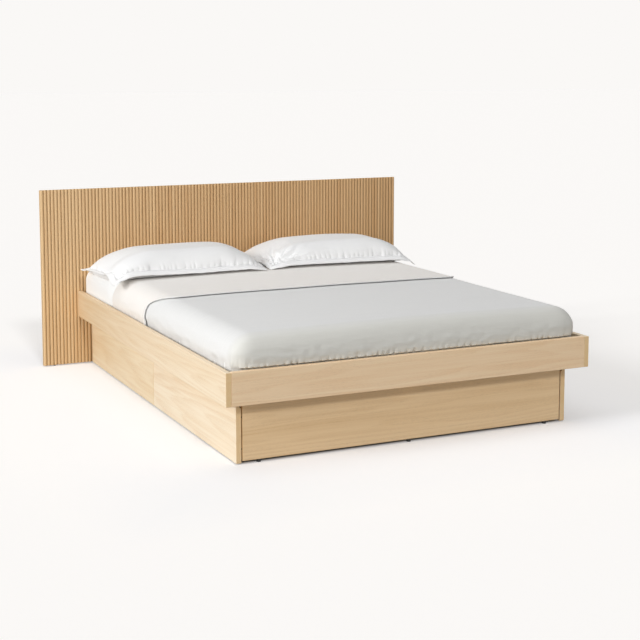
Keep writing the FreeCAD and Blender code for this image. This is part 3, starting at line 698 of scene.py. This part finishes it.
class BED_OT_mattress(bpy.types.Operator):
    """Make the mattress, a quilted block with rounded edges and corded seams"""
    bl_idname = "bed.mattress"
    bl_label = "Mattress"

    def execute(self, context):
        sizes = settings().sizes
        form = Made(sizes.duvet_half - MATTRESS_IN, MATTRESS_LOW.y + MATTRESS_PLAY,
                    MATTRESS_HIGH.y - MATTRESS_PLAY, MATTRESS_HIGH.z + MATTRESS_RISE,
                    sizes.shoulder - MATTRESS_IN, sizes.foot_round - MATTRESS_IN, sizes.crown)
        low = MATTRESS_LOW.z + MATTRESS_PLAY
        deselect()
        bpy.ops.mesh.primitive_cube_add(size=2)
        piece = bpy.context.object
        piece.name = piece.data.name = "mattress_core"
        bpy.ops.object.mode_set(mode="EDIT")
        bpy.ops.mesh.select_all(action="SELECT")
        bpy.ops.mesh.subdivide(number_cuts=MATTRESS_CUTS)
        bpy.ops.object.mode_set(mode="OBJECT")
        tall = form.top - low
        halves = Vector((form.half, (form.head - form.foot) / 2, tall / 2))
        middle = Vector((0, (form.foot + form.head) / 2, low + tall / 2))
        for vertex in piece.data.vertices:
            place = vertex.co * halves
            inner = Vector([max(-half + MATTRESS_ROUND, min(half - MATTRESS_ROUND, part))
                            for half, part in zip(halves, place)])
            facing = (place - inner).normalized()
            place = inner + facing * MATTRESS_ROUND
            sewn = abs(math.sin(place.x * math.pi / QUILT_PITCH)
                       * math.sin(place.y * math.pi / QUILT_PITCH))
            place -= facing * QUILT_DEPTH * ease(abs(facing.z), 0.7, 1.0) * (1 - min(sewn * 3, 1)) ** 2
            if place.z > 0:
                place.z -= form.crown * (place.x / form.half) ** 2
            vertex.co = place + middle
        smooth(piece)
        unite(piece, [corded_edge(form, height)
                      for height in (low + CORD_LOW, form.top - form.crown - CORD_HIGH)])
        piece.data.materials.clear()
        piece.data.materials.append(material("ticking"))
        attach(piece, "root")
        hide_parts("mattress")
        return {"FINISHED"}


# The fitted sheet: its thickness, how far it lies inside the duvet, and how far it rises above its solid.
# Behind the duvet's fold it lies fuller, by the last four.
SHEET_THICK, SHEET_PLAY, SHEET_IN, SHEET_IN_END, SHEET_RISE = 0.0023, 0.0004, 0.012, 0.0115, 0.0033
FULLER_HALF, FULLER_TOP, FULLER_SIDE, FULLER_FROM = 0.015, 0.004, 0.03, (0.005, 0.08)


class BED_OT_sheet(bpy.types.Operator):
    """Stretch the fitted sheet over the mattress"""
    bl_idname = "bed.sheet"
    bl_label = "Fitted sheet"

    def execute(self, context):
        sizes = settings().sizes

        def bed(fuller):
            return Made(sizes.duvet_half - SHEET_IN + FULLER_HALF * fuller, SHEET_LOW.y + SHEET_PLAY,
                        SHEET_HIGH.y - SHEET_PLAY, SHEET_HIGH.z + SHEET_RISE + FULLER_TOP * fuller,
                        sizes.shoulder - SHEET_IN - FULLER_SIDE * fuller, sizes.foot_round - SHEET_IN_END,
                        sizes.crown)

        form = bed(0)
        flat_x = form.half - form.side
        run_x = flat_x + form.reach(SHEET_LOW.z)
        run_y = form.reach(SHEET_LOW.z, end=True)
        foot, head = form.foot + form.end, form.head - form.end
        piece = new_cloth("fitted_sheet_cloth", run_over(-run_x, -flat_x, flat_x, run_x, 26, 70),
                          run_over(foot - run_y, foot, head, head + run_y, 26, 96))
        fuller_start, fuller_end = (FOLD_LINE + past for past in FULLER_FROM)
        for vertex in piece.data.vertices:
            across, along = vertex.co.x, vertex.co.y
            place, facing = bed(ease(along, fuller_start, fuller_end)).lay(across, along)
            hang = ease(form.top - place.z, 0.02, 0.09)
            pull = abs(wave(across * 2, along, 9, 3.1)) * 0.0014 * hang
            vertex.co = place - facing * pull
        thicken(piece, SHEET_THICK)
        piece.data.materials.append(material("sheet"))
        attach(piece, "root")
        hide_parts("fitted_sheet")
        2 * run_x
        head - foot + 2 * run_y
        return {"FINISHED"}


# The duvet: the gap inside its fold, its hem's depth, rows, rise and softness, how far it bulges over the
# foot rail and where its rows are closest there, and its puckers, crinkles and the folds at its corners
FOLD_GAP = 0.0004
HEM_DEPTH, HEM_ROWS, HEM_RISE, HEM_SOFT = 0.02, (0.014, 0.0115, 0.0105, 0.008, 0.003, 0.0), 0.0042, 0.045
RAIL_BULGE = 0.013
RAIL_ROWS = (-0.006, 0.022)
PINCH_RISE, PINCH_DEPTH = 0.0065, 0.0095
CRINKLE_DEPTH, CORNER_DEPTH, CORNER_SIZE = 0.0021, 0.0042, 0.13


class BED_OT_duvet(bpy.types.Operator):
    """Lay the duvet over the mattress with its head end folded back as a cuff"""
    bl_idname = "bed.duvet"
    bl_label = "Duvet"

    def execute(self, context):
        sizes = settings().sizes
        form = duvet_form()
        flat_x = form.half - form.side
        run_x, run_y = (form.reach(DUVET_LOW.z + 0.0005, end) for end in (False, True))
        cuff_share = form.reach(CUFF_LOW) / run_x
        foot = form.foot + form.end
        rail = foot - form.reach(RAIL_TOP, end=True)
        turn = math.pi * FOLD_GAP
        cuff = FOLD_LINE - HEM_LINE
        below_rail, above_rail = (rail + past for past in RAIL_ROWS)
        rows = (steps(foot - run_y, below_rail, 5)[:-1] + steps(below_rail, above_rail, 18)[:-1]
                + steps(above_rail, foot, 24)[:-1] + steps(foot, FOLD_LINE, 66)
                + [FOLD_LINE + turn * part / 6 for part in range(1, 6)]
                + [FOLD_LINE + turn + part for part in steps(0, cuff - HEM_DEPTH, 38)]
                + [FOLD_LINE + turn + cuff - part for part in HEM_ROWS])
        columns = run_over(-flat_x - run_x, -flat_x, flat_x, flat_x + run_x, 26, 228)
        piece = new_cloth("duvet_cover", columns, rows)
        padding = piece.vertex_groups.new(name="Filled")
        for vertex in piece.data.vertices:
            across, reached = vertex.co.x, vertex.co.y
            past_x = abs(across) - flat_x
            hem_rise = 0.0
            if reached <= FOLD_LINE:
                way, lift, filled = reached, 0.0, 1.0
            elif reached < FOLD_LINE + turn:
                angle = (reached - FOLD_LINE) / FOLD_GAP
                way, lift = FOLD_LINE + FOLD_GAP * math.sin(angle), FOLD_GAP * (1 - math.cos(angle))
                filled = 1 - angle / math.pi
            else:
                share = (reached - FOLD_LINE - turn) / cuff
                if past_x > 0:
                    across = math.copysign(flat_x + past_x * cuff_share, across)
                hem = cuff_hem(across, max(past_x, -0.02) * cuff_share)
                way, lift, filled = FOLD_LINE + (hem - FOLD_LINE) * share, 2 * FOLD_GAP, 0.0
                hem_rise = HEM_RISE * (1 - ease((1 - share) * cuff, 0.0, HEM_SOFT))
            padding.add([vertex.index], filled, "REPLACE")
            place, facing = duvet_form(lift).lay(across, way)
            depth = form.top - place.z
            over_rail = ease(depth, 0.03, 0.10) * (1 - ease(depth, 0.1295, 0.1362))
            place.y -= RAIL_BULGE * over_rail * max(0.0, -facing.y) ** 0.7
            pinched = self.pinch(place)
            place -= facing * self.creases(form, place, pinched)
            depth = form.top - place.z
            lower_edge = ease(depth, 0.108, 0.128) * (1 - ease(depth, 0.137, 0.150))
            place.z += PINCH_RISE * pinched * lower_edge
            vertex.co = place + facing * hem_rise
        piece.data.materials.append(material("linen"))
        piece.data.materials.append(material("linen_back"))
        thicken(piece, sizes.cloth_thick, "Filled", sizes.cuff_thick / sizes.cloth_thick, backing=1)
        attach(piece, "root")
        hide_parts("duvet")
        return {"FINISHED"}

    def pinch(self, place):
        """How strongly the tuck pinches the cover above a place, from 0 to 1."""
        around = place.x + place.y
        beat = max(0.0, math.sin(around * 200 + 8 * wave(place.x, place.y, 8, 5.5))) ** 3
        return beat * min(1.0, 0.1 + 2.4 * abs(wave(place.x, place.y, 6, 1.9)))

    def creases(self, form, place, pinched):
        """How far the cover is drawn in by soft folds, by crinkles and by its puckers."""
        depth = form.top - place.z
        around = place.x + place.y
        drawn = (0.0006 + 0.0011 * wave(place.x, place.y, 3.1, 7.7)
                 + 0.0005 * wave(place.x, place.y, 8.5, 2.3))
        drawn += PINCH_DEPTH * ease(depth, 0.106, 0.134) * pinched
        drawn += CRINKLE_DEPTH * ease(depth, 0.03, 0.1) * (
            1 + wave(around, place.z * 2.4, 15, 6.1) + 0.9 * wave(around, place.z * 1.6, 34, 2.9))
        corner = (ease(abs(place.x), form.half - CORNER_SIZE, form.half - 0.03)
                  * ease(-place.y, -form.foot - CORNER_SIZE, -form.foot - 0.03))
        turn = math.atan2(abs(place.x) - (form.half - 0.09), (form.foot + 0.09) - place.y)
        folds = wave(turn * 0.55, depth * 0.25, 9, 1.3) + 0.5 * wave(turn * 1.3, depth * 0.4, 9, 8.8)
        drawn += CORNER_DEPTH * corner * ease(depth, 0.05, 0.135) * (0.7 + folds)
        return max(drawn, 0.0)


# A pillowcase: its flat cut, how high it is blown up, its mesh, its cloth, how far its front seam lies
# behind its border's edge, half its border's thickness, and its puckers and the creases of a crumpled corner
CASE_WIDE, CASE_DEEP, CASE_HIGH = 0.80, 0.53, 0.108
CASE_COLUMNS, CASE_ROWS = 112, 76
CASE_LINE = CASE_COLUMNS + 1
CASE_COUNT = CASE_LINE * (CASE_ROWS + 1)
CASE_LAST = CASE_COUNT - CASE_LINE
CASE_THICK, FRONT_FLANGE, FLANGE_THICK = 0.004, 0.032, 0.0011
PUCKER_DEPTH, PUCKER_BEAT, CREASE_DEPTH = 0.0050, 215, 0.0095
# The cloth simulation that fills a case, how many of its steps are played and where its cache ends
FILLING = {
    "quality": 5, "mass": 0.2, "tension_stiffness": 18, "compression_stiffness": 18, "shear_stiffness": 6,
    "bending_stiffness": 0.35, "use_pressure": True, "uniform_pressure_force": 4,
}
FILLING_STEPS, FILLING_END = 24, 30
# For each pillow the tips of its border from the front left one round, its seam's height at left and
# right, how far its tips hang over the shoulder, its seed, and whether its front left corner is crumpled
PILLOWS = {
    "left": (((-0.824, 0.372), (-0.048, 0.382), (-0.002, 0.995), (-0.830, 0.945)),
             (0.043, 0.028), 0.014, 3.7, False),
    "right": (((-0.022, 0.392), (0.782, 0.385), (0.800, 0.985), (0.010, 1.000)),
              (0.032, 0.031), 0.020, 11.2, True),
}


def over_shoulder(x):
    """How far a place to the side of the bed lies over the duvet's shoulder, from 0 to 1."""
    return ease(abs(x), 0.7, 0.82)


def rest_height(x, y):
    """The height of what a pillow lies on: the duvet's cuff, and the sheet behind its fold."""
    sizes = settings().sizes
    cuff = duvet_form().surface(x) + sizes.cuff_thick + 0.0016
    sheet = SHEET_HIGH.z + SHEET_RISE - sizes.crown * (x / sizes.duvet_half) ** 2
    return cuff + (sheet - cuff) * ease(y, FOLD_LINE - 0.03, FOLD_LINE + 0.07)


class BED_OT_pillows(bpy.types.Operator):
    """Blow up the two pillows as cloth, lay them down and sew a border round each"""
    bl_idname = "bed.pillows"
    bl_label = "Pillows"

    def execute(self, context):
        for hand, (places, seams, tip_sag, seed, crumpled) in PILLOWS.items():
            tips = [Vector((*place, 0)) for place in places]
            piece = new_cloth(f"pillow_{hand}_case", steps(-CASE_WIDE / 2, CASE_WIDE / 2, CASE_COLUMNS),
                              steps(-CASE_DEEP / 2, CASE_DEEP / 2, CASE_ROWS))
            self.blow_up(piece, seed)
            self.lay_down(piece, tips, seams)
            seam = self.seam_line(piece)
            self.pucker(piece, seed, crumpled)
            self.sew_flange(piece, seam, tips, tip_sag, seed)
            piece.data.materials.append(material("cotton"))
            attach(piece, "root")
            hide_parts(f"pillow_{hand}")
        return {"FINISHED"}

    def blow_up(self, piece, seed):
        """Shapes a flat case by a formula, fills it as cloth, and softens its middle."""
        for vertex in piece.data.vertices:
            u, v = vertex.co.x * 2 / CASE_WIDE, vertex.co.y * 2 / CASE_DEEP
            body = (1 - abs(u) ** 3) * (1 - abs(v) ** 3)
            vertex.co.z = 0.002 + 0.012 * body + 0.0015 * wave(vertex.co.x, vertex.co.y, 14, seed)
        thicken(piece, CASE_THICK)
        vertices = piece.data.vertices
        flat = [vertex.co.copy() for vertex in vertices]
        for index in range(CASE_COUNT, 2 * CASE_COUNT):
            vertices[index].co.z = -vertices[index - CASE_COUNT].co.z
        self.inflate(piece)
        middle = piece.vertex_groups.new(name="Crown")
        for vertex, start in zip(piece.data.vertices, flat):
            in_from_seam = min(CASE_WIDE / 2 - abs(start.x), CASE_DEEP / 2 - abs(start.y))
            middle.add([vertex.index], 0.40 + 0.60 * ease(in_from_seam, 0.010, 0.055), "REPLACE")
        calm = piece.modifiers.new("Calm", "SMOOTH")
        calm.factor = 0.6
        calm.iterations = 130
        calm.vertex_group = "Crown"
        apply_all(piece)

    def inflate(self, piece):
        """Blows the case up as cloth, with no gravity, and keeps the result."""
        choose(piece)
        filling = piece.modifiers.new("Filling", "CLOTH")
        for key, value in FILLING.items():
            setattr(filling.settings, key, value)
        filling.settings.effector_weights.gravity = 0
        filling.collision_settings.use_collision = False
        filling.point_cache.frame_start, filling.point_cache.frame_end = 1, FILLING_END
        scene = bpy.context.scene
        for step in range(FILLING_STEPS):
            scene.frame_set(step + 1)
        bpy.ops.object.modifier_apply(modifier=filling.name)
        scene.frame_set(1)

    def half_sizes(self, points):
        """How far the case reaches from its middle at each column or row, evened out over its neighbours:
        to the front, the back, the left and the right."""
        def evened(values):
            return [sum(values[min(max(index + step, 0), len(values) - 1)] for step in range(-6, 7)) / 13
                    for index in range(len(values))]

        return [evened(values) for values in (
            [-point.y for point in points[:CASE_LINE]],
            [point.y for point in points[CASE_LAST:CASE_COUNT]],
            [-point.x for point in points[:CASE_COUNT:CASE_LINE]],
            [point.x for point in points[CASE_COLUMNS:CASE_COUNT:CASE_LINE]])]

    def lay_down(self, piece, tips, seams):
        """Puts the blown up case on the bed: its edges nearly straight, flat below, crowned above."""
        points = [vertex.co.copy() for vertex in piece.data.vertices]
        front, back, left, right = self.half_sizes(points)
        high = CASE_HIGH / max(point.z for point in points)
        wide, deep = (tips[1] - tips[0]).length, (tips[3] - tips[0]).length
        flange = settings().sizes.flange
        inset, inset_front, inset_back = flange / wide, FRONT_FLANGE / deep, flange / deep
        for index, point in enumerate(points):
            row, column = divmod(index % CASE_COUNT, CASE_LINE)
            u = point.x / (right if point.x > 0 else left)[row]
            v = point.y / (back if point.y > 0 else front)[column]
            s, t = (u + 1) / 2, (v + 1) / 2
            part = inset + s * (1 - 2 * inset)
            place = tips[0].lerp(tips[1], part).lerp(
                tips[3].lerp(tips[2], part), inset_front + t * (1 - inset_front - inset_back))
            below = rest_height(place.x, place.y)
            at_corner = ease(abs(u), 0.86, 1.0) * ease(abs(v), 0.7, 1.0)
            seam = seams[0] + (seams[1] - seams[0]) * ease(s, 0.02, 0.62)
            seam -= 0.5 * seams[1] * ease(t, 0.4, 1.0)
            over = over_shoulder(place.x) * 0.010
            level = below + seam * (1 - 0.45 * at_corner) - over
            if point.z >= 0:
                thin_end = 0.60 + 0.40 * ease(min(s, 1.04 - s), -0.06, 0.27)
                height = level + point.z * high * thin_end * (1 - 0.05 * math.cos(math.pi * s))
            else:
                height = max(level + point.z * high, below + 0.0012 - over)
                place.y += 0.026 * ease(-v, 0.72, 1.0) * ease(level - height, 0.0, 0.020)
            piece.data.vertices[index].co = (place.x, place.y, height)
        piece.data.update()

    def seam_line(self, piece):
        """The places along the seam, once round from the front left corner."""
        loop = [*range(CASE_LINE), *range(CASE_LINE + CASE_COLUMNS, CASE_COUNT, CASE_LINE),
                *range(CASE_COUNT - 2, CASE_LAST - 1, -1), *range(CASE_LAST - CASE_LINE, 0, -CASE_LINE)]
        vertices = piece.data.vertices
        return [(vertices[index].co + vertices[index + CASE_COUNT].co) / 2 for index in loop]

    def pucker(self, piece, seed, crumpled):
        """Gathers the case finely along its seam and most at its corners, and creases a crumpled one."""
        finer = piece.modifiers.new("Finer", "SUBSURF")
        finer.levels = finer.render_levels = 1
        apply_all(piece)
        flats = piece.data.uv_layers.active.data
        cut = {loop.vertex_index: flats[loop.index].uv.copy() for loop in piece.data.loops}
        normals = [vertex.normal.copy() for vertex in piece.data.vertices]
        for index, flat in cut.items():
            off_x, off_y = CASE_WIDE / 2 - abs(flat.x), CASE_DEEP / 2 - abs(flat.y)
            from_seam, along_seam = (off_y, flat.x) if off_y < off_x else (off_x, flat.y + 3)
            near_corner = 1 - ease(max(off_x, off_y), 0.03, 0.12)
            phase = along_seam * PUCKER_BEAT + 7 * wave(along_seam, 0.3, 13, seed)
            ripple = (0.5 + 0.5 * math.sin(phase)) ** 3
            crumple = 2.6 if flat.x < 0 and crumpled else 1.0
            deepness = 0.25 + 1.5 * abs(wave(along_seam, 0.7, 19, seed + 5)) + crumple * near_corner
            reach = 0.020 + 0.03 * near_corner
            fade = ease(from_seam, -0.002, 0.006) * math.exp(-max(from_seam - 0.012, 0) / reach)
            inward = PUCKER_DEPTH * ripple * deepness * fade
            if crumpled and flat.x < 0 and flat.y < 0 and normals[index].z > 0:
                from_tip, turn = math.hypot(off_x, off_y), math.atan2(off_y, off_x)
                fold = 1 - math.sin(turn * 11 + 3.0 * wave(from_tip, turn, 9, seed))
                fold *= ease(from_tip, 0.02, 0.08) * math.exp(-max(from_tip - 0.16, 0) / 0.07)
                inward += CREASE_DEPTH * fold * normals[index].z
            piece.data.vertices[index].co -= normals[index] * inward
        piece.data.update()

    def sew_flange(self, piece, seam, tips, tip_sag, seed):
        """A double border sewn round the seam, nearly straight between its tips, its front hanging down."""
        total = len(seam)
        calm = [sum((seam[(index + near) % total] for near in range(-6, 7)), Vector()) / 13
                for index in range(total)]
        turns = (0, CASE_COLUMNS, CASE_COLUMNS + CASE_ROWS, 2 * CASE_COLUMNS + CASE_ROWS, total)
        mesh = bmesh.new()
        rings = []
        for index in range(total):
            side = max(number for number in range(4) if index >= turns[number])
            part = (index - turns[side]) / (turns[side + 1] - turns[side])
            outer = tips[side].lerp(tips[(side + 1) % 4], part)
            nearest = min(part, 1 - part) * (turns[side + 1] - turns[side])
            out = (Vector((outer.x, outer.y, 0)) - Vector((seam[index].x, seam[index].y, 0))).normalized()
            bowed = 0.006 * (1 - ease(nearest, 0, 30)) - 0.004
            edge = Vector((outer.x, outer.y, calm[index].z)) + out * bowed
            middle = seam[index].lerp(edge, 0.5)
            middle.z = 0.6 * seam[index].z + 0.4 * calm[index].z
            start = seam[index] - out * 0.004
            wavy = 0.0020 * wave(edge.x, edge.y, 31, seed) * ease(nearest, 0, 6)
            sag = 0.0015 + 0.003 * ease(nearest, 0, 8)
            middle.z += wavy * 0.5 - sag * 0.3
            edge.z += wavy - sag
            rest = rest_height(edge.x, edge.y) - over_shoulder(edge.x) * tip_sag + 0.0025
            hang = (1 - ease(part, 0.0, 0.035), 1 - ease(part, 0.0, 0.2), 0.0, ease(part, 0.7, 0.95))[side]
            if side == 0:
                hang = max(hang, ease(part, 0.965, 1.0))
                edge.z -= 0.010 + 0.003 * (1 - part)
            edge.z = max(edge.z, rest)
            edge.z += (rest - edge.z) * hang
            middle.z += (0.55 * seam[index].z + 0.45 * edge.z - middle.z) * hang
            upper = ((start, 1.0), (middle, 1.0), (edge, 0.9))
            lower = ((edge, -0.9), (middle, -1.0), (start, -1.0))
            rings.append([mesh.verts.new(place + Vector((0, 0, share * FLANGE_THICK)))
                          for place, share in upper + lower])
        lay = mesh.loops.layers.uv.new("UVMap")
        for index in range(total):
            one, two = rings[index], rings[(index + 1) % total]
            for part in range(6):
                after = (part + 1) % 6
                face = mesh.faces.new((one[part], one[after], two[after], two[part]))
                face.smooth = True
                for corner in face.loops:
                    corner[lay].uv = (corner.vert.co.x, corner.vert.co.y)
        bmesh.ops.recalc_face_normals(mesh, faces=mesh.faces)
        data = bpy.data.meshes.new("flange")
        mesh.to_mesh(data)
        mesh.free()
        flange = bpy.data.objects.new("flange", data)
        bpy.context.scene.collection.objects.link(flange)
        unite(piece, [flange])


# The photograph's viewpoint, from a fit to the bed's corners
CAMERA_PLACE = (-2.5953, -5.6272, 1.5006)
CAMERA_YAW = math.radians(25.246)
CAMERA_PITCH = math.radians(6.55)
CAMERA_LENS, CAMERA_SENSOR = 75.46, 36
CAMERA_SHIFT = -0.15
CAMERA_FAR = 500

# The studio: a broad lamp at the left, soft ones at the side, in front and above, and light from all
# round. Each sun has its direction, its strength and its angle in degrees; one lights the floor alone.
WORLD_LIGHT = 0.24
KEY_PLACE = (-4.3, -1.7, 1.5)
KEY_TARGET = (0.0, 0.0, 0.4)
KEY_SIZE = (2.2, 1.6)
KEY_POWER = 76.0
SUNS = {
    "side": ((1.0, 0.03, -0.42), 0.85, 18),
    "front": ((0.1, 0.82, -0.57), 0.79, 8),
    "overhead": ((0.15, 0.05, -1.0), 0.60, 60),
    "floor_shadow": ((1.0, 0.03, -0.42), 0.80, 18),
}
FLOOR_SUN = "floor_shadow"

# The floor: the base that stands on it, the share of its colour that it throws back, its lit share and its
# own glow where it is seen, which stops under the base as painted shade, and the painted shade, darker and
# cooler, close to the bed
FLOOR_SIZE, FLOOR_TOP = 160, -0.0002
BASE_HALF_WIDTH = 0.757
BASE_MIDDLE = 0.0218
BASE_HALF_LENGTH = 0.9996
FLOOR_BOUNCE = (0.56, 0.55, 0.53)
FLOOR_LIT = 0.94
FLOOR_GLOW = 0.276
FLOOR_NEAR_PAINTED_SHADE = (0.89, 0.92, 0.972)


def seen_rays(tree):
    """1 for the rays by which a surface is seen, directly or in gloss or glass."""
    path = add(tree, "ShaderNodeLightPath")
    direct, gloss, glass = (Term(path, f"Is {kind} Ray") for kind in ("Camera", "Glossy", "Transmission"))
    return (direct + gloss).maths("ADD", glass, clamp=True)


def show_apart(tree, unseen, seen, output):
    """Gives an output one shader for the light that it sends out and another for how it is seen."""
    mix = add(tree, "ShaderNodeMixShader", {0: seen_rays(tree), 1: Term(unseen), 2: Term(seen)})
    join(Term(mix), tree.nodes[output].inputs["Surface"])


class BED_OT_stage(bpy.types.Operator):
    """Set the camera, the floor and the soft studio light"""
    bl_idname = "bed.stage"
    bl_label = "Stage"

    def execute(self, context):
        deselect()
        shade = tuple(settings().colours.backdrop)
        bpy.ops.object.camera_add(location=CAMERA_PLACE,
                                  rotation=(math.pi / 2 - CAMERA_PITCH, 0, -CAMERA_YAW))
        camera = bpy.context.object
        camera.name = "camera"
        camera.data.lens = CAMERA_LENS
        camera.data.sensor_width = CAMERA_SENSOR
        camera.data.shift_y = CAMERA_SHIFT
        camera.data.clip_end = CAMERA_FAR
        context.scene.camera = camera

        bpy.ops.mesh.primitive_plane_add(size=FLOOR_SIZE, location=(0, 0, FLOOR_TOP))
        floor = bpy.context.object
        floor.name = "floor"
        floor.data.materials.append(self.floor_material(shade))

        world = bpy.data.worlds.new("Studio")
        context.scene.world = world
        world.use_nodes = True
        light = world.node_tree.nodes["Background"]
        light.inputs["Color"].default_value = (1, 1, 1, 1)
        light.inputs["Strength"].default_value = WORLD_LIGHT
        seen = add(world.node_tree, "ShaderNodeBackground", {"Color": (*shade, 1)})
        show_apart(world.node_tree, light, seen, "World Output")

        bpy.ops.object.light_add(type="AREA", location=KEY_PLACE)
        key = bpy.context.object
        key.name = "key"
        key.data.shape = "RECTANGLE"
        key.data.size, key.data.size_y = KEY_SIZE
        key.data.energy = KEY_POWER
        self.aim(key, Vector(KEY_TARGET) - Vector(KEY_PLACE))
        self.limit(key, floor, "EXCLUDE")
        for name, (towards, strength, angle) in SUNS.items():
            bpy.ops.object.light_add(type="SUN", location=(0, 0, 4))
            lamp = bpy.context.object
            lamp.name = name
            lamp.data.energy = strength
            lamp.data.angle = math.radians(angle)
            self.aim(lamp, Vector(towards))
            if name == FLOOR_SUN:
                self.limit(lamp, floor, "INCLUDE")
        context.scene.view_settings.view_transform = "Standard"
        return {"FINISHED"}

    def aim(self, lamp, towards):
        """Turns a lamp to shine in a direction."""
        lamp.rotation_euler = towards.to_track_quat("-Z", "Y").to_euler()

    def limit(self, lamp, piece, state):
        """Makes a lamp light one piece alone, or everything else."""
        lit = bpy.data.collections.new("Lit by " + lamp.name)
        lit.objects.link(piece)
        lamp.light_linking.receiver_collection = lit
        lit.collection_objects[0].light_linking.link_state = state

    def floor_material(self, shade):
        """A floor that is seen in the backdrop's colour and keeps the bed's soft shadow, with painted shade
        under the base and close to it.
        """
        made, tree, shader = start_material("Pale floor", 0.9, Specular_IOR_Level=0.0)
        shader.inputs["Base Color"].default_value = (*times(shade, FLOOR_BOUNCE), 1)
        place = split(shaded_place(tree))
        past_side = abs(place["X"]) - BASE_HALF_WIDTH
        past_end = abs(place["Y"] - BASE_MIDDLE) - BASE_HALF_LENGTH
        outside = past_side.maths("MAXIMUM", past_end)
        far = times(shade, FLOOR_LIT)
        # Painted shade: the floor darker and cooler close to the bed
        ground_with_painted_shade = outside.spread(0.0, 0.7).blend(times(far, FLOOR_NEAR_PAINTED_SHADE), far)
        lit = add(tree, "ShaderNodeBsdfDiffuse", {"Color": ground_with_painted_shade})
        # Painted shade under the base: the floor's glow stops there
        strength = outside.spread(-0.03, 0.004, 0.0, FLOOR_GLOW)
        glow = add(tree, "ShaderNodeEmission", {"Color": (*shade, 1), "Strength": strength})
        both = add(tree, "ShaderNodeAddShader", {0: Term(lit), 1: Term(glow)})
        show_apart(tree, shader, both, "Material Output")
        return made


class BED_PT_panel(bpy.types.Panel):
    """The bed's makers and settings in the sidebar"""
    bl_idname = "BED_PT_panel"
    bl_label = "Bed"
    bl_space_type = "VIEW_3D"
    bl_region_type = "UI"
    bl_category = "Bed"

    def draw(self, context):
        for maker in MAKERS:
            self.layout.operator(maker.bl_idname)
        for group in (context.scene.bed_settings.colours, context.scene.bed_settings.sizes):
            for key in group.__annotations__:
                self.layout.prop(group, key)


MAKERS = (BED_OT_stage, BED_OT_wood, BED_OT_hardware, BED_OT_mattress, BED_OT_sheet, BED_OT_duvet,
          BED_OT_pillows)
CLASSES = (BedColours, BedSizes, BedSettings, *MAKERS, BED_PT_panel)


def register():
    for item in CLASSES:
        bpy.utils.register_class(item)
    bpy.types.Scene.bed_settings = PointerProperty(type=BedSettings)


def unregister():
    del bpy.types.Scene.bed_settings
    for item in reversed(CLASSES):
        bpy.utils.unregister_class(item)


def main():
    """Make the bed."""
    register()
    for maker in MAKERS:
        group, name = maker.bl_idname.split(".")
        getattr(getattr(bpy.ops, group), name)()


if __name__ == "__main__":
    main()
